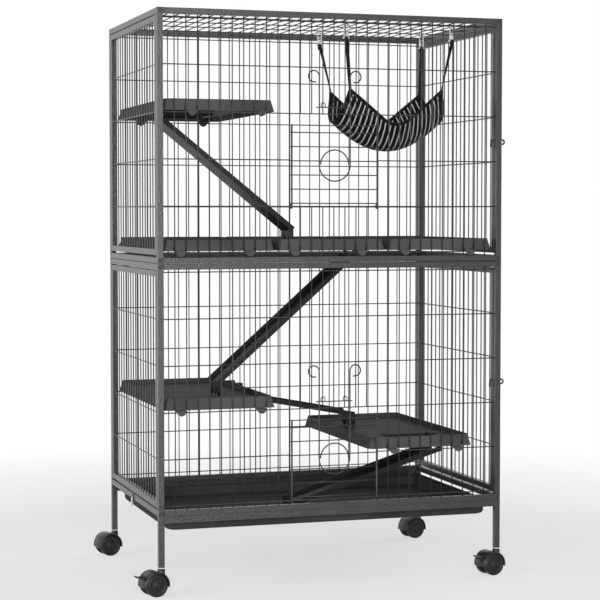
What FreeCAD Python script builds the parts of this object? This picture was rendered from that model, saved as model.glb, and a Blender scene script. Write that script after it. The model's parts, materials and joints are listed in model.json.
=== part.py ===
"""Two-storey wire cage for small animals, on four twin-wheel casters.

Millimetres, +Z up. The origin is on the floor under the middle of the posts'
footprint, +X to the right and +Y to the back as seen from the small doors.
"""
import FreeCAD, Part
import math
import os

V = FreeCAD.Vector
X_AXIS = V(1, 0, 0)
Y_AXIS = V(0, 1, 0)
Z_AXIS = V(0, 0, 1)

# Frame of square tube
cage_width = 800.0
cage_depth = 508.0
tube = 13.0
tube_wall = 1.2
tube_edge = 0.96
storey_height = 547.0
storey_gap = 0.6
base_height = 170.5
post_foot = 60.0
plug_clearance = 0.1
plug_length = 60.0
cap_height = 2.0
cap_edge = 0.8

# Wire panels
wire = 2.5
wire_sides = 6
chord_turn = 30.0
facet_sides = 12
columns = 30
rows = 6
row_bottom_margin = 21.5
row_top_margin = 18.5
top_rows = 4

# Framed side panels and side doors
panel_side_gap = 3.0
panel_bottom_gap = 4.5
panel_top_gap = 2.0
spacer_side = 7.0
spacer_inset = 45.0

# Side door hinges and latches
hinge_clearance = 0.2
knuckle_radius = 3.0
knuckle_length = 12.0
hinge_pin = 1.5
hinge_leaf = 1.5
hinge_inset = 70.0
side_door_play = 0.3
latch_pin = 4.0
latch_arm = 17.0
latch_curl = 5.0
latch_reach = 8.0
latch_sweep = 200.0
latch_seat = 0.4

# Small drop-down front doors
door_columns = 8
door_rows = 2
upper_hinge_row = 1
lower_hinge_row = 0
door_stile = 4.0
door_play = 0.4
door_loop = 270.0
door_side_play = 0.6
door_height = 179.0
door_bars = 6
door_first_bar = 6.7
door_bar_step = 31.0
ring_radius = 36.0
ring_height = 91.5
ring_wire = 3.0
leg_height = 285.0
curl_radius = 11.0
curl_sweep = 260.0
curl_stub = 5.0
keeper_rise = 14.5
keeper_overhang = 6.0
hook_wire = 2.0
hook_radius = 4.5

# Rounded corners of mouldings
corner_chords = 2

# Moulded shelves
shelf_side_gap = 3.0
shelf_between = 6.0
right_shelf_gap = 50.0
shelf_end_gap = 3.5
shelf_height = 25.0
shelf_flare = 6.0
shelf_wall = 2.5
shelf_rim = 12.0
shelf_corner = 14.0
shelf_lift = 4.0
tongue_width = 21.0
tongue_thick = 2.75
tongue_drop = 12.0
tongue_play = 0.8
slot_width = 3.0
slot_height = 9.0
hole_length = 118.0
hole_width = 114.0
hole_corner = 14.0
hole_front_margin = 44.75
upper_hole_y = -20.0
upper_hole_margin = 39.0
middle_hole_margin = 21.0
right_hole_margin = 54.0

# Moulded ramps
ramp_width = 86.0
ramp_wall_height = 11.0
ramp_wall = 2.5
ramp_rib = 1.4
ramp_rib_width = 3.0
ramp_rib_step = 30.0
prong_width = 20.0
prong_thick = 4.0
prong_foot = 30.0
prong_hook = 30.0
bridge_hook = 30.0
hook_lip = 12.0
ramp_play = 0.4
upper_ramp_run = 307.0
middle_ramp_run = 327.0
lower_ramp_run = 355.0
bridge_landing = 66.0
bridge_y = 87.0
tray_foot_gap = 3.0

# Base tray, runners and tray clips
tray_end_inset = 25.0
tray_side_inset = 28.0
tray_wall = 2.0
tray_depth = 25.0
tray_corner = 12.0
tray_bevel = 9.0
tray_knee = 2.7
tray_flange = 13.0
tray_end_flange = 9.0
tray_play = 0.3
runner_height = 14.5
runner_sheet = 1.5
runner_lip = 21.0
clip_y = 6.0
clip_width = 10.0
clip_length = 28.0
clip_sheet = 2.0
saddle_width = 16.0
saddle_sheet = 1.5
rivet_radius = 2.0

# Bolts
bolt_head = 5.0
bolt_crown = 3.1
bolt_sides = 6
bolt_rise = 2.4

# Casters
wheel_radius = 25.0
wheel_width = 14.0
wheel_spacing = 30.0
wheel_edge = 2.5
wheel_sides = 20
wheel_dish = 17.0
wheel_recess = 2.0
caster_trail = 18.0
caster_turn = 13.0
caster_play = 0.5
hood_gap = 1.2
hood_sheet = 2.4
hood_start = 35.0
hood_end = 150.0
web_start = -25.0
hood_margin = 20.0
hood_chord = 11.0
axle_radius = 3.0
bearing_clearance = 0.1
boss_radius = 7.2
caster_clearance = 0.4
stem_radius = 4.0
stem_length = 36.0
stem_block = 18.0
socket_flange = 2.0
lever_length = 18.0
lever_thick = 4.0
lever_barrel = 3.0
lever_cheek = 3.0
lever_angle = 30.0
cheek_turn = 10.0
cheek_rim = 1.0

# Hammock
strap_draw_left = 23.5
strap_draw_right = 30.5
strap_drop = 35.1
corner_drop = 147.1
side_drop = 178.1
edge_drop = 224.1
belly_drop = 285.1
hammock_side_draw = 8.0
hammock_inset = 26.0
hammock_cloth = 3.0
hammock_bend = 62.0
cloth_chords = 4
cloth_spans = 6
strap_width = 8.0
strap_sheet = 1.5
clip_plate = 3.0
clip_wide = 12.0
hang_play = 0.3

# Derived places
x_out = cage_width / 2
x_in = x_out - tube
y_out = cage_depth / 2
y_in = y_out - tube
post_x = x_out - tube / 2
post_y = y_out - tube / 2
lower_bottom = base_height
lower_top = lower_bottom + storey_height
upper_bottom = lower_top + storey_gap
upper_top = upper_bottom + storey_height
pitch = 2 * x_in / columns
shelf_width = (2 * x_in - 2 * shelf_side_gap - 2 * shelf_between) / 3
row_step = (storey_height - row_bottom_margin - row_top_margin) / (rows - 1)
upright_y = post_y
row_y = post_y + wire


def lower_row(k):
    """Height of cross row k of the lower storey."""
    return lower_bottom + row_bottom_margin + k * row_step


def upper_row(k):
    """Height of cross row k of the upper storey."""
    return upper_bottom + row_bottom_margin + k * row_step


def block(x0, x1, y0, y1, z0, z1):
    """Rectangular block between two opposite corners, given in any order."""
    low = V(min(x0, x1), min(y0, y1), min(z0, z1))
    return Part.makeBox(abs(x1 - x0), abs(y1 - y0), abs(z1 - z0), low)


def turned(shape, angle, base, axis):
    """Copy of a shape turned about an axis, in degrees."""
    copy = shape.copy()
    copy.rotate(base, axis, angle)
    return copy


def moved(shape, x, y, z):
    """Copy of a shape shifted by a vector."""
    copy = shape.copy()
    copy.translate(V(x, y, z))
    return copy


def ngon(centre, u, v, radius, sides, turn=0.0):
    """Corners of a regular outline in the plane of two unit vectors."""
    corners = []
    for i in range(sides):
        a = 2 * math.pi * (i + turn) / sides
        corners.append(centre + u * (radius * math.cos(a)) + v * (radius * math.sin(a)))
    return corners


def outline_face(corners):
    """Flat face inside a ring of corners."""
    return Part.Face(Part.makePolygon(corners + [corners[0]]))


def skin(outlines, bent=False):
    """Solid with flat sides through outlines that have as many corners each, and flat ends.

    Where the sides are bent, each is split into two triangles.
    """
    faces = [outline_face(outlines[0]), outline_face(outlines[-1])]
    count = len(outlines[0])
    for a, b in zip(outlines, outlines[1:]):
        for i in range(count):
            j = (i + 1) % count
            if bent:
                faces.append(outline_face([a[i], a[j], b[j]]))
                faces.append(outline_face([a[i], b[j], b[i]]))
            else:
                faces.append(outline_face([a[i], a[j], b[j], b[i]]))
    solid = Part.Solid(Part.Shell(faces))
    if solid.Volume < 0:
        solid.reverse()
    return solid


def facet_bar(start, run, radius):
    """Round bar or bore of a few flat facets from a start point along a run, its corners at the radius."""
    u = Z_AXIS if abs(run.z) < 0.5 * run.Length else X_AXIS
    v = (run * (1 / run.Length)).cross(u)
    return outline_face(ngon(start, u, v, radius, facet_sides, 0.5)).extrude(run)


def corner_radius(diameter, sides):
    """Radius over the corners of a bar that measures the diameter over its flats."""
    return diameter / 2 / math.cos(math.pi / sides)


def bore_radius(pin):
    """Radius over the corners of a bore whose flats clear a turning pin."""
    return corner_radius(2 * (pin + bearing_clearance), facet_sides)


def rod(start, end, diameter, flat):
    """Straight wire with two of its flats square to a unit vector, on which it lies against others."""
    run = end - start
    side = (run * (1 / run.Length)).cross(flat)
    corners = ngon(start, flat, side, corner_radius(diameter, wire_sides), wire_sides, 0.5)
    return outline_face(corners).extrude(run)


def turned_bar(stations, sides):
    """Round solid through (centre, radius) stations along Y, with flat facets."""
    return skin([ngon(c, X_AXIS, Z_AXIS, r, sides) for c, r in stations])


def tube_bar(x0, x1, y0, y1, z0, z1):
    """Hollow square tube with rounded edges along the longest side of the given box."""
    outer = block(x0, x1, y0, y1, z0, z1)
    spans = [abs(x1 - x0), abs(y1 - y0), abs(z1 - z0)]
    along = spans.index(max(spans))
    axis = (X_AXIS, Y_AXIS, Z_AXIS)[along]
    long_edges = []
    for edge in outer.Edges:
        run = edge.Vertexes[1].Point - edge.Vertexes[0].Point
        if run.cross(axis).Length < 1e-6:
            long_edges.append(edge)
    outer = outer.makeChamfer(tube_edge, long_edges)
    inset = [tube_wall, tube_wall, tube_wall]
    inset[along] = -1.0
    low = (min(x0, x1) + inset[0], min(y0, y1) + inset[1], min(z0, z1) + inset[2])
    high = (max(x0, x1) - inset[0], max(y0, y1) - inset[1], max(z0, z1) - inset[2])
    return outer.cut(block(low[0], high[0], low[1], high[1], low[2], high[2]))


def rounded_outline(half_x, half_y, radius, z):
    """Closed outline of a rectangle centred on the Z axis, its corners rounded by short chords."""
    points = []
    for k, (sx, sy) in enumerate([(1, 1), (-1, 1), (-1, -1), (1, -1)]):
        for i in range(corner_chords + 1):
            a = math.pi / 2 * (k + i / corner_chords)
            points.append(V(sx * (half_x - radius) + radius * math.cos(a),
                            sy * (half_y - radius) + radius * math.sin(a), z))
    return points


def stacked(levels):
    """Solid through rounded rectangles, each given as half X, half Y, corner radius and Z."""
    return skin([rounded_outline(*level) for level in levels])


def fused(shapes):
    """One solid from several that overlap or share faces."""
    whole = shapes[0].fuse(shapes[1:]) if len(shapes) > 1 else shapes[0]
    return whole.removeSplitter()


def corner_signs():
    """Front left, front right, back left, back right."""
    return [("front_left", -1, -1), ("front_right", 1, -1), ("back_left", -1, 1), ("back_right", 1, 1)]


def posts():
    """Lower and upper posts, with plugs between them, top caps and foot sockets."""
    lower, upper, plugs, caps, sockets = [], [], [], [], []
    bore = tube - 2 * tube_wall
    plug = bore - 2 * plug_clearance
    for name, sx, sy in corner_signs():
        x0, x1 = sx * x_in, sx * x_out
        y0, y1 = sy * y_in, sy * y_out
        cx, cy = sx * post_x, sy * post_y
        lower.append(tube_bar(x0, x1, y0, y1, post_foot, lower_top))
        upper.append(tube_bar(x0, x1, y0, y1, upper_bottom, upper_top - cap_height))
        half = plug / 2
        seam = (lower_top + upper_bottom) / 2
        stop = block(x0, x1, y0, y1, lower_top, upper_bottom)
        spigot = block(cx - half, cx + half, cy - half, cy + half,
                       seam - plug_length / 2, seam + plug_length / 2)
        plugs.append(fused([stop, spigot]))
        lid = block(x0, x1, y0, y1, upper_top - cap_height, upper_top)
        lid = lid.makeChamfer(cap_edge, lid.Faces[5].Edges)
        stub = block(cx - half, cx + half, cy - half, cy + half,
                     upper_top - cap_height - tube, upper_top - cap_height)
        caps.append(fused([lid, stub]))
        flange = block(x0, x1, y0, y1, post_foot - socket_flange, post_foot)
        sleeve = block(cx - half, cx + half, cy - half, cy + half,
                       post_foot, post_foot + stem_length + tube_wall)
        bore_hole = facet_bar(V(cx, cy, post_foot - socket_flange), Z_AXIS * (stem_length + socket_flange),
                          bore_radius(stem_radius))
        sockets.append(fused([flange, sleeve]).cut(bore_hole))
    return {"posts_lower": lower, "posts_upper": upper, "post_plugs": plugs,
            "post_caps": caps, "caster_sockets": sockets}


def rails():
    """Horizontal tubes between the posts: four levels on each side."""
    levels = [lower_bottom, lower_top - tube, upper_bottom, upper_top - tube]
    nodes = {}
    for name, sy in (("front_rails", -1), ("back_rails", 1)):
        nodes[name] = [tube_bar(-x_in, x_in, sy * y_in, sy * y_out, z, z + tube) for z in levels]
    for name, sx in (("side_rails_left", -1), ("side_rails_right", 1)):
        nodes[name] = [tube_bar(sx * x_in, sx * x_out, -y_in, y_in, z, z + tube) for z in levels]
    return nodes


def bolts():
    """Domed bolt heads on the front and back faces of the posts, one at each side rail."""
    heads = []
    levels = [lower_bottom, lower_top - tube, upper_bottom, upper_top - tube]
    for z in levels:
        for sx in (-1, 1):
            for sy in (-1, 1):
                base = V(sx * post_x, sy * y_out, z + tube / 2)
                crown = base + V(0, sy * bolt_rise, 0)
                heads.append(turned_bar([(base, bolt_head), (crown, bolt_crown)], bolt_sides))
    return {"frame_bolts": heads}


def wire_panel(sy, bottom, row_height, hinge_row=None):
    """Upright wires between two rails with cross rows outside them, and a door opening if any."""
    wires = []
    low, high = bottom + tube, bottom + storey_height - tube
    half = door_columns / 2 * pitch
    for k in range(1, columns):
        x = -x_in + k * pitch
        y = sy * upright_y
        if hinge_row is not None and abs(x) < half - pitch / 2:
            sill = row_height(hinge_row) + wire / 2
            head = row_height(hinge_row + door_rows) - wire / 2
            wires.append(rod(V(x, y, low), V(x, y, sill), wire, Y_AXIS))
            wires.append(rod(V(x, y, head), V(x, y, high), wire, Y_AXIS))
        else:
            wires.append(rod(V(x, y, low), V(x, y, high), wire, Y_AXIS))
    for k in range(rows):
        z = row_height(k)
        y = sy * row_y
        if hinge_row is not None and hinge_row < k < hinge_row + door_rows:
            edge = half - wire / 2
            wires.append(rod(V(-x_in, y, z), V(-edge, y, z), wire, Y_AXIS))
            wires.append(rod(V(edge, y, z), V(x_in, y, z), wire, Y_AXIS))
        else:
            wires.append(rod(V(-x_in, y, z), V(x_in, y, z), wire, Y_AXIS))
    return wires


top_wire_z = upper_top - tube / 2
top_row_z = top_wire_z - wire
top_row_step = 2 * y_in / (top_rows + 1)


def top_row(k):
    """Y of cross row k of the top panel."""
    return -y_in + (k + 1) * top_row_step


def top_panel():
    """Wires from front to back between the top rails, on cross rows below them."""
    wires = []
    for k in range(1, columns):
        x = -x_in + k * pitch
        wires.append(rod(V(x, -y_in, top_wire_z), V(x, y_in, top_wire_z), wire, Z_AXIS))
    for k in range(top_rows):
        y = top_row(k)
        wires.append(rod(V(-x_in, y, top_row_z), V(x_in, y, top_row_z), wire, Z_AXIS))
    return wires


panel_y = y_in - panel_side_gap


def panel_span(bottom):
    """Lowest and highest Z of the framed panel in a storey."""
    return bottom + tube + panel_bottom_gap, bottom + storey_height - tube - panel_top_gap


def framed_panel(sx, bottom):
    """Four tubes round upright wires, with cross rows on the outside."""
    z0, z1 = panel_span(bottom)
    x0, x1 = sx * x_in, sx * x_out
    parts = []
    for sy in (-1, 1):
        parts.append(tube_bar(x0, x1, sy * (panel_y - tube), sy * panel_y, z0, z1))
    for z in (z0, z1 - tube):
        parts.append(tube_bar(x0, x1, -(panel_y - tube), panel_y - tube, z, z + tube))
    inner_y = panel_y - tube
    side = int((inner_y - wire) / pitch)
    for k in range(-side, side + 1):
        y = k * pitch
        parts.append(rod(V(sx * post_x, y, z0 + tube), V(sx * post_x, y, z1 - tube), wire, X_AXIS))
    x = sx * (post_x + wire)
    for k in range(1, rows - 1):
        z = bottom + row_bottom_margin + k * row_step
        parts.append(rod(V(x, -inner_y, z), V(x, inner_y, z), wire, X_AXIS))
    return parts


def left_spacers():
    """Spacers that hold the left panels between the posts."""
    parts = []
    for bottom in (lower_bottom, upper_bottom):
        z0, z1 = panel_span(bottom)
        for z in (z0 + spacer_inset, z1 - spacer_inset):
            for sy in (-1, 1):
                half = spacer_side / 2
                parts.append(block(-post_x - half, -post_x + half, sy * panel_y, sy * y_in,
                                   z - half, z + half))
    return parts


hinge_x = x_out + knuckle_radius + hinge_clearance
hinge_y = (panel_y + y_in) / 2


def hinge_levels(bottom):
    """Heights of the two hinges of a side door."""
    z0, z1 = panel_span(bottom)
    return [z0 + hinge_inset, z1 - hinge_inset]


def hinge_brackets():
    """Middle knuckle of each side door hinge, on a leaf against the back right post."""
    parts = []
    for bottom in (lower_bottom, upper_bottom):
        for z in hinge_levels(bottom):
            z0 = z - knuckle_length / 2
            leaf = block(x_out, x_out + hinge_leaf, y_in, y_out - hinge_leaf, z0, z0 + knuckle_length)
            tie = block(x_out + hinge_clearance, x_out + hinge_leaf, hinge_y, y_in + hinge_leaf,
                        z0, z0 + knuckle_length)
            barrel = facet_bar(V(hinge_x, hinge_y, z0), Z_AXIS * knuckle_length, knuckle_radius)
            bore = facet_bar(V(hinge_x, hinge_y, z0), Z_AXIS * knuckle_length, bore_radius(hinge_pin))
            parts.append(fused([leaf, tie, barrel]).cut(bore))
    return parts


latch_y = -(panel_y - tube / 2)
latch_hole = bore_radius(corner_radius(latch_pin, wire_sides))


def latch_level(bottom):
    """Height of a side door's latch."""
    z0, z1 = panel_span(bottom)
    return (z0 + z1) / 2


def side_door(bottom):
    """Framed panel of the right side with outer knuckles, hinge pins and a latch hole."""
    parts = framed_panel(1, bottom)
    hole = facet_bar(V(x_in - tube, latch_y, latch_level(bottom)), V(3 * tube, 0, 0), latch_hole)
    parts[0] = parts[0].cut(hole)
    for z in hinge_levels(bottom):
        pieces = []
        for s in (-1, 1):
            near = z + s * (knuckle_length / 2 + side_door_play)
            far = near + s * knuckle_length
            z0 = min(near, far)
            leaf = block(x_out, x_out + hinge_leaf, panel_y - tube + hinge_leaf, panel_y,
                         z0, z0 + knuckle_length)
            tie = block(x_out + hinge_clearance, x_out + hinge_leaf, panel_y - hinge_leaf, hinge_y,
                        z0, z0 + knuckle_length)
            barrel = facet_bar(V(hinge_x, hinge_y, z0), Z_AXIS * knuckle_length, knuckle_radius)
            pieces += [leaf, tie, barrel]
        low = z - 1.5 * knuckle_length - side_door_play
        pin_length = 3 * knuckle_length + 2 * side_door_play
        pin = facet_bar(V(hinge_x, hinge_y, low), Z_AXIS * pin_length, hinge_pin)
        parts.append(fused(pieces + [pin]))
    return parts


def side_latch(bottom):
    """Turning latch: a pin through the stile, an arm inside and a hooked finger outside."""
    z = latch_level(bottom)
    bend = latch_pin
    arm_x = x_in - latch_seat - bend
    end_x = x_out + latch_seat + latch_pin / 2 + latch_reach
    elbow = V(arm_x + bend, latch_y, z - bend)
    eye = V(end_x, latch_y, z - latch_curl)
    points = [V(arm_x, latch_y, z - latch_arm)] + ring_arc(elbow, bend, 180, -90)
    points += ring_arc(eye, latch_curl, 90, -latch_sweep)
    return [bent_wire(points, latch_pin, Y_AXIS, wire_sides)]


door_x = door_columns / 2 * pitch - wire / 2 - door_side_play - door_stile / 2
loop_radius = corner_radius(wire, wire_sides) + door_play + corner_radius(door_stile, wire_sides)
stile_y = -row_y - loop_radius
bar_y = stile_y + corner_radius(door_stile, wire_sides) + wire / 2
ring_y = bar_y - wire / 2 - ring_wire / 2


def ring_point(centre, radius, angle):
    """Point of a circle in the XZ plane, at an angle in degrees from +X."""
    a = math.radians(angle)
    return V(centre.x + radius * math.cos(a), centre.y, centre.z + radius * math.sin(a))


def ring_arc(centre, radius, start, sweep):
    """Points of that circle from a start angle through a signed sweep, in short chords."""
    steps = max(2, round(abs(sweep) / chord_turn))
    return [ring_point(centre, radius, start + sweep * i / steps) for i in range(steps + 1)]


def bent_wire(points, diameter, square, sides=6):
    """Wire along chords in the plane square to the given unit vector, mitred at each point."""
    outlines = []
    radius = corner_radius(diameter, sides)
    for i, p in enumerate(points):
        before = (p - points[i - 1]).normalize() if i > 0 else None
        after = (points[i + 1] - p).normalize() if i < len(points) - 1 else None
        ways = [w for w in (before, after) if w is not None]
        way = V(0, 0, 0)
        for w in ways:
            way += w
        way.normalize()
        side = way.cross(square)
        stretch = 1.0 / way.dot(ways[0])
        outlines.append(ngon(p, square, side * stretch, radius, sides, 0.5))
    return skin(outlines)


def stile_with_loop(x, z):
    """Door stile whose foot is bent into a loop round the row at height z."""
    points = [V(x, stile_y, z + door_height)]
    steps = round(door_loop / chord_turn)
    for i in range(steps + 1):
        a = math.radians(door_loop * i / steps)
        points.append(V(x, -row_y - loop_radius * math.cos(a), z - loop_radius * math.sin(a)))
    return bent_wire(points, door_stile, X_AXIS, wire_sides)


def front_door(z):
    """Two looped stiles, a top bar and cross bars behind them."""
    parts = [stile_with_loop(-door_x, z), stile_with_loop(door_x, z)]
    reach = door_x + door_stile / 2
    for k in range(door_bars):
        h = z + door_first_bar + k * door_bar_step
        parts.append(rod(V(-reach, bar_y, h), V(reach, bar_y, h), wire, Y_AXIS))
    h = z + door_height - wire / 2
    parts.append(rod(V(-reach, bar_y, h), V(reach, bar_y, h), wire, Y_AXIS))
    return parts


def door_latch(z):
    """Sprung wire: curls for two fingers, legs and the lower half of a ring, and the upper half in it."""
    centre = V(0, ring_y, z + ring_height)
    top = z + leg_height
    eyes = [V(s * (ring_radius + curl_radius), ring_y, top) for s in (-1, 1)]
    left_end = ring_point(eyes[0], curl_radius, curl_sweep)
    right_end = ring_point(eyes[1], curl_radius, 180 - curl_sweep)
    a = math.radians(180 - curl_sweep)
    stub = V(math.sin(a), 0, -math.cos(a)) * curl_stub
    mirrored = V(-stub.x, 0, stub.z)
    main = [left_end + mirrored] + ring_arc(eyes[0], curl_radius, curl_sweep, -curl_sweep)
    main += ring_arc(centre, ring_radius, 180, 180)
    main += ring_arc(eyes[1], curl_radius, 180, -curl_sweep) + [right_end + stub]
    upper = ring_arc(centre, ring_radius - corner_radius(2 * ring_wire, 6), 0, 180)
    return [bent_wire(main, ring_wire, Y_AXIS), bent_wire(upper, ring_wire, Y_AXIS)]


def keepers():
    """Spring bar over each small door, in front of the panel's upright wires, with two hooks on it."""
    parts = []
    for z in (upper_row(upper_hinge_row + door_rows), lower_row(lower_hinge_row + door_rows)):
        h = z + keeper_rise
        reach = ring_radius + keeper_overhang
        parts.append(rod(V(-reach, -row_y, h), V(reach, -row_y, h), wire, Y_AXIS))
        for x in (-pitch, pitch):
            crown = V(x, -row_y, h + corner_radius(wire, wire_sides) + hook_radius)
            foot = V(0, 0, -hook_radius)
            arc = ring_arc(crown, hook_radius, 180, -180)
            parts.append(bent_wire([arc[0] + foot] + arc + [arc[-1] + foot], hook_wire, Y_AXIS))
    return parts


shelf_half_y = upright_y - wire / 2 - shelf_end_gap


def tongue_flap(x, face, outer, low, high):
    """Flat flap with a round lower end."""
    half = tongue_width / 2
    points = [V(x + half, face, high), V(x - half, face, high)]
    for i in range(2 * corner_chords + 1):
        a = math.pi * (1 + i / (2 * corner_chords))
        points.append(V(x + half * math.cos(a), face, low + half + half * math.sin(a)))
    return outline_face(points).extrude(V(0, outer - face, 0))


def shelf(centre_x, row_z, tongues, hole=None):
    """Hollow tray with a raised rim, tongues over the rows and a ramp hole if any.

    The hole is given by the X of its hooking end, the way it runs and its middle Y.
    """
    bottom = row_z + shelf_lift
    top = bottom + shelf_height
    deck = top - shelf_rim
    half_x = shelf_width / 2
    half_y = shelf_half_y
    draw = shelf_flare / shelf_height

    def outline(z, inset):
        shrink = (z - bottom) * draw + inset
        return rounded_outline(half_x - shrink, half_y - shrink, shelf_corner, z)
    body = skin([outline(bottom, 0), outline(top, 0)])
    under = skin([outline(bottom - 1, shelf_wall), outline(deck - shelf_wall, shelf_wall)])
    over = skin([outline(deck, shelf_wall), outline(top + 1, shelf_wall)])
    body = body.cut(under).cut(over)
    if hole is not None:
        end_x, way, mid_y = hole
        mid_x = end_x + way * hole_length / 2 - centre_x
        cut = outline_face(rounded_outline(hole_length / 2, hole_width / 2, hole_corner, 0))
        cut = moved(cut.extrude(V(0, 0, shelf_height)), mid_x, mid_y, bottom)
        body = body.cut(cut)
    body.translate(V(centre_x, 0, 0))
    pieces = [body]
    slots = []
    for x in tongues:
        for sy in (-1, 1):
            half = tongue_width / 2
            low = row_z + corner_radius(wire, wire_sides)
            inner = sy * (half_y - shelf_flare - shelf_wall / 2)
            face = sy * (row_y + wire / 2 + tongue_play)
            outer = face + sy * tongue_thick
            strip = block(x - half, x + half, inner, outer, low, low + tongue_thick)
            pieces += [strip, tongue_flap(x, face, outer, bottom - tongue_drop, low + tongue_thick)]
            for s in (-1, 1):
                edge = x + s * (half + slot_width / 2 + 1)
                slots.append(block(edge - slot_width / 2, edge + slot_width / 2,
                                   sy * (half_y - shelf_flare - 2 * shelf_wall), sy * (half_y + 1),
                                   bottom - 1, bottom + slot_height))
    whole = pieces[0].fuse(pieces[1:])
    for slot in slots:
        whole = whole.cut(slot)
    return [whole.removeSplitter()]


def deck_of(row_z):
    """Height of a shelf's deck above the row that carries it."""
    return row_z + shelf_lift + shelf_height - shelf_rim


def rim_of(row_z):
    """Height of a shelf's rim."""
    return row_z + shelf_lift + shelf_height


shelf_side = x_in - shelf_side_gap - shelf_width / 2
top_shelf_row = upper_row(upper_hinge_row + door_rows)
middle_row = upper_row(0)
left_shelf_row = lower_row(lower_hinge_row + door_rows)
right_shelf_row = lower_row(lower_hinge_row + 1)


def gap_x(k):
    """X of the middle of the gap k steps from the middle wire."""
    return (k + 0.5) * pitch


right_shelf_x = x_in - right_shelf_gap - shelf_width / 2
hole_y = -(shelf_half_y - hole_front_margin - hole_width / 2)
upper_hole = (-shelf_side - shelf_width / 2 + upper_hole_margin, 1, upper_hole_y)
middle_hole = (shelf_width / 2 - middle_hole_margin, -1, -hole_width / 2)
right_hole = (right_shelf_x + shelf_width / 2 - right_hole_margin, -1, hole_y)


def shelves():
    """Six shelves: one above, three across the middle and two below."""
    return {
        "shelf_upper": shelf(-shelf_side, top_shelf_row, [gap_x(-13), gap_x(-7)], upper_hole),
        "shelf_middle_left": shelf(-shelf_side, middle_row, [gap_x(-14), gap_x(-8)]),
        "shelf_middle": shelf(0, middle_row, [gap_x(-4), gap_x(2)], middle_hole),
        "shelf_middle_right": shelf(shelf_side, middle_row, [gap_x(6), gap_x(12)]),
        "shelf_lower_left": shelf(-shelf_side, left_shelf_row, [gap_x(-14), gap_x(-7)]),
        "shelf_lower_right": shelf(right_shelf_x, right_shelf_row, [gap_x(5), gap_x(11)], right_hole),
    }


def ramp(hook_x, way, seat_z, lip, hook, foot_x, foot_z, mid_y):
    """Channel with cross ribs between two hooked prongs above and two prongs standing below.

    hook_x is the edge that the prongs hang beside, way the X direction in which the ramp
    runs down, seat_z the surface under the lip and foot_z the surface under the feet.
    """
    near = hook_x + way * ramp_play
    top = V(near + way * prong_thick, 0, seat_z - hook)
    low = V(foot_x, 0, foot_z + ramp_play + prong_foot)
    run = low - top
    length = run.Length
    half = ramp_width / 2
    floor = block(0, length, -half, half, -ramp_wall, 0)
    pieces = [floor]
    for s in (-1, 1):
        pieces.append(block(0, length, s * (half - ramp_wall), s * half,
                            -ramp_wall, ramp_wall_height - ramp_wall))
    count = int((length - ramp_rib_step) / ramp_rib_step)
    for k in range(count):
        at = (length - (count - 1) * ramp_rib_step) / 2 + k * ramp_rib_step
        pieces.append(block(at - ramp_rib_width / 2, at + ramp_rib_width / 2,
                            -half + ramp_wall, half - ramp_wall, 0, ramp_rib))
    channel = fused(pieces)
    slope = math.degrees(math.atan2(top.z - low.z, abs(run.x)))
    channel.rotate(V(0, 0, 0), Y_AXIS, slope)
    if way < 0:
        channel.rotate(V(0, 0, 0), Z_AXIS, 180)
    channel.translate(V(top.x, mid_y, top.z))
    prongs = []
    for s in (-1, 1):
        y0 = mid_y + s * (half - prong_width)
        y1 = mid_y + s * half
        mid = (y0 + y1) / 2
        sole = foot_z + ramp_play
        tip = prong_width / 2
        back = foot_x - way * prong_thick / 2
        points = [V(back, mid + tip, low.z + ramp_wall), V(back, mid - tip, low.z + ramp_wall)]
        for i in range(2 * corner_chords + 1):
            a = math.pi * (1 + i / (2 * corner_chords))
            points.append(V(back, mid + tip * math.cos(a), sole + tip + tip * math.sin(a)))
        leg = outline_face(points).extrude(V(way * prong_thick, 0, 0))
        rise = block(near, near + way * prong_thick, y0, y1,
                     top.z - ramp_wall, seat_z + ramp_play + ramp_wall)
        over = block(near + way * prong_thick, hook_x - way * lip, y0, y1,
                     seat_z + ramp_play, seat_z + ramp_play + ramp_wall)
        prongs += [leg, rise, over]
    return [fused([channel] + prongs)]


tray_top = lower_bottom - runner_height + runner_sheet + tray_play + tray_wall
tray_bottom = tray_top - tray_depth
tray_floor = tray_bottom + tray_wall
bridge_rim_x = -shelf_side + shelf_width / 2


def ramps():
    """Four ramps from shelf to shelf and down into the tray."""
    upper_foot = upper_hole[0] + upper_ramp_run
    middle_foot = middle_hole[0] - middle_ramp_run
    bridge_foot = right_shelf_x - shelf_width / 2 + bridge_landing
    lower_foot = right_hole[0] - lower_ramp_run
    return {
        "ramp_upper": ramp(upper_hole[0], 1, deck_of(top_shelf_row), hook_lip, prong_hook,
                           upper_foot, deck_of(middle_row), upper_hole[2]),
        "ramp_middle": ramp(middle_hole[0], -1, deck_of(middle_row), hook_lip, prong_hook,
                            middle_foot, deck_of(left_shelf_row), middle_hole[2]),
        "ramp_bridge": ramp(bridge_rim_x, 1, rim_of(left_shelf_row), hook_lip + shelf_flare, bridge_hook,
                            bridge_foot, deck_of(right_shelf_row), bridge_y),
        "ramp_lower": ramp(right_hole[0], -1, deck_of(right_shelf_row), hook_lip, prong_hook,
                           lower_foot, tray_floor + tray_foot_gap, hole_y),
    }


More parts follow.
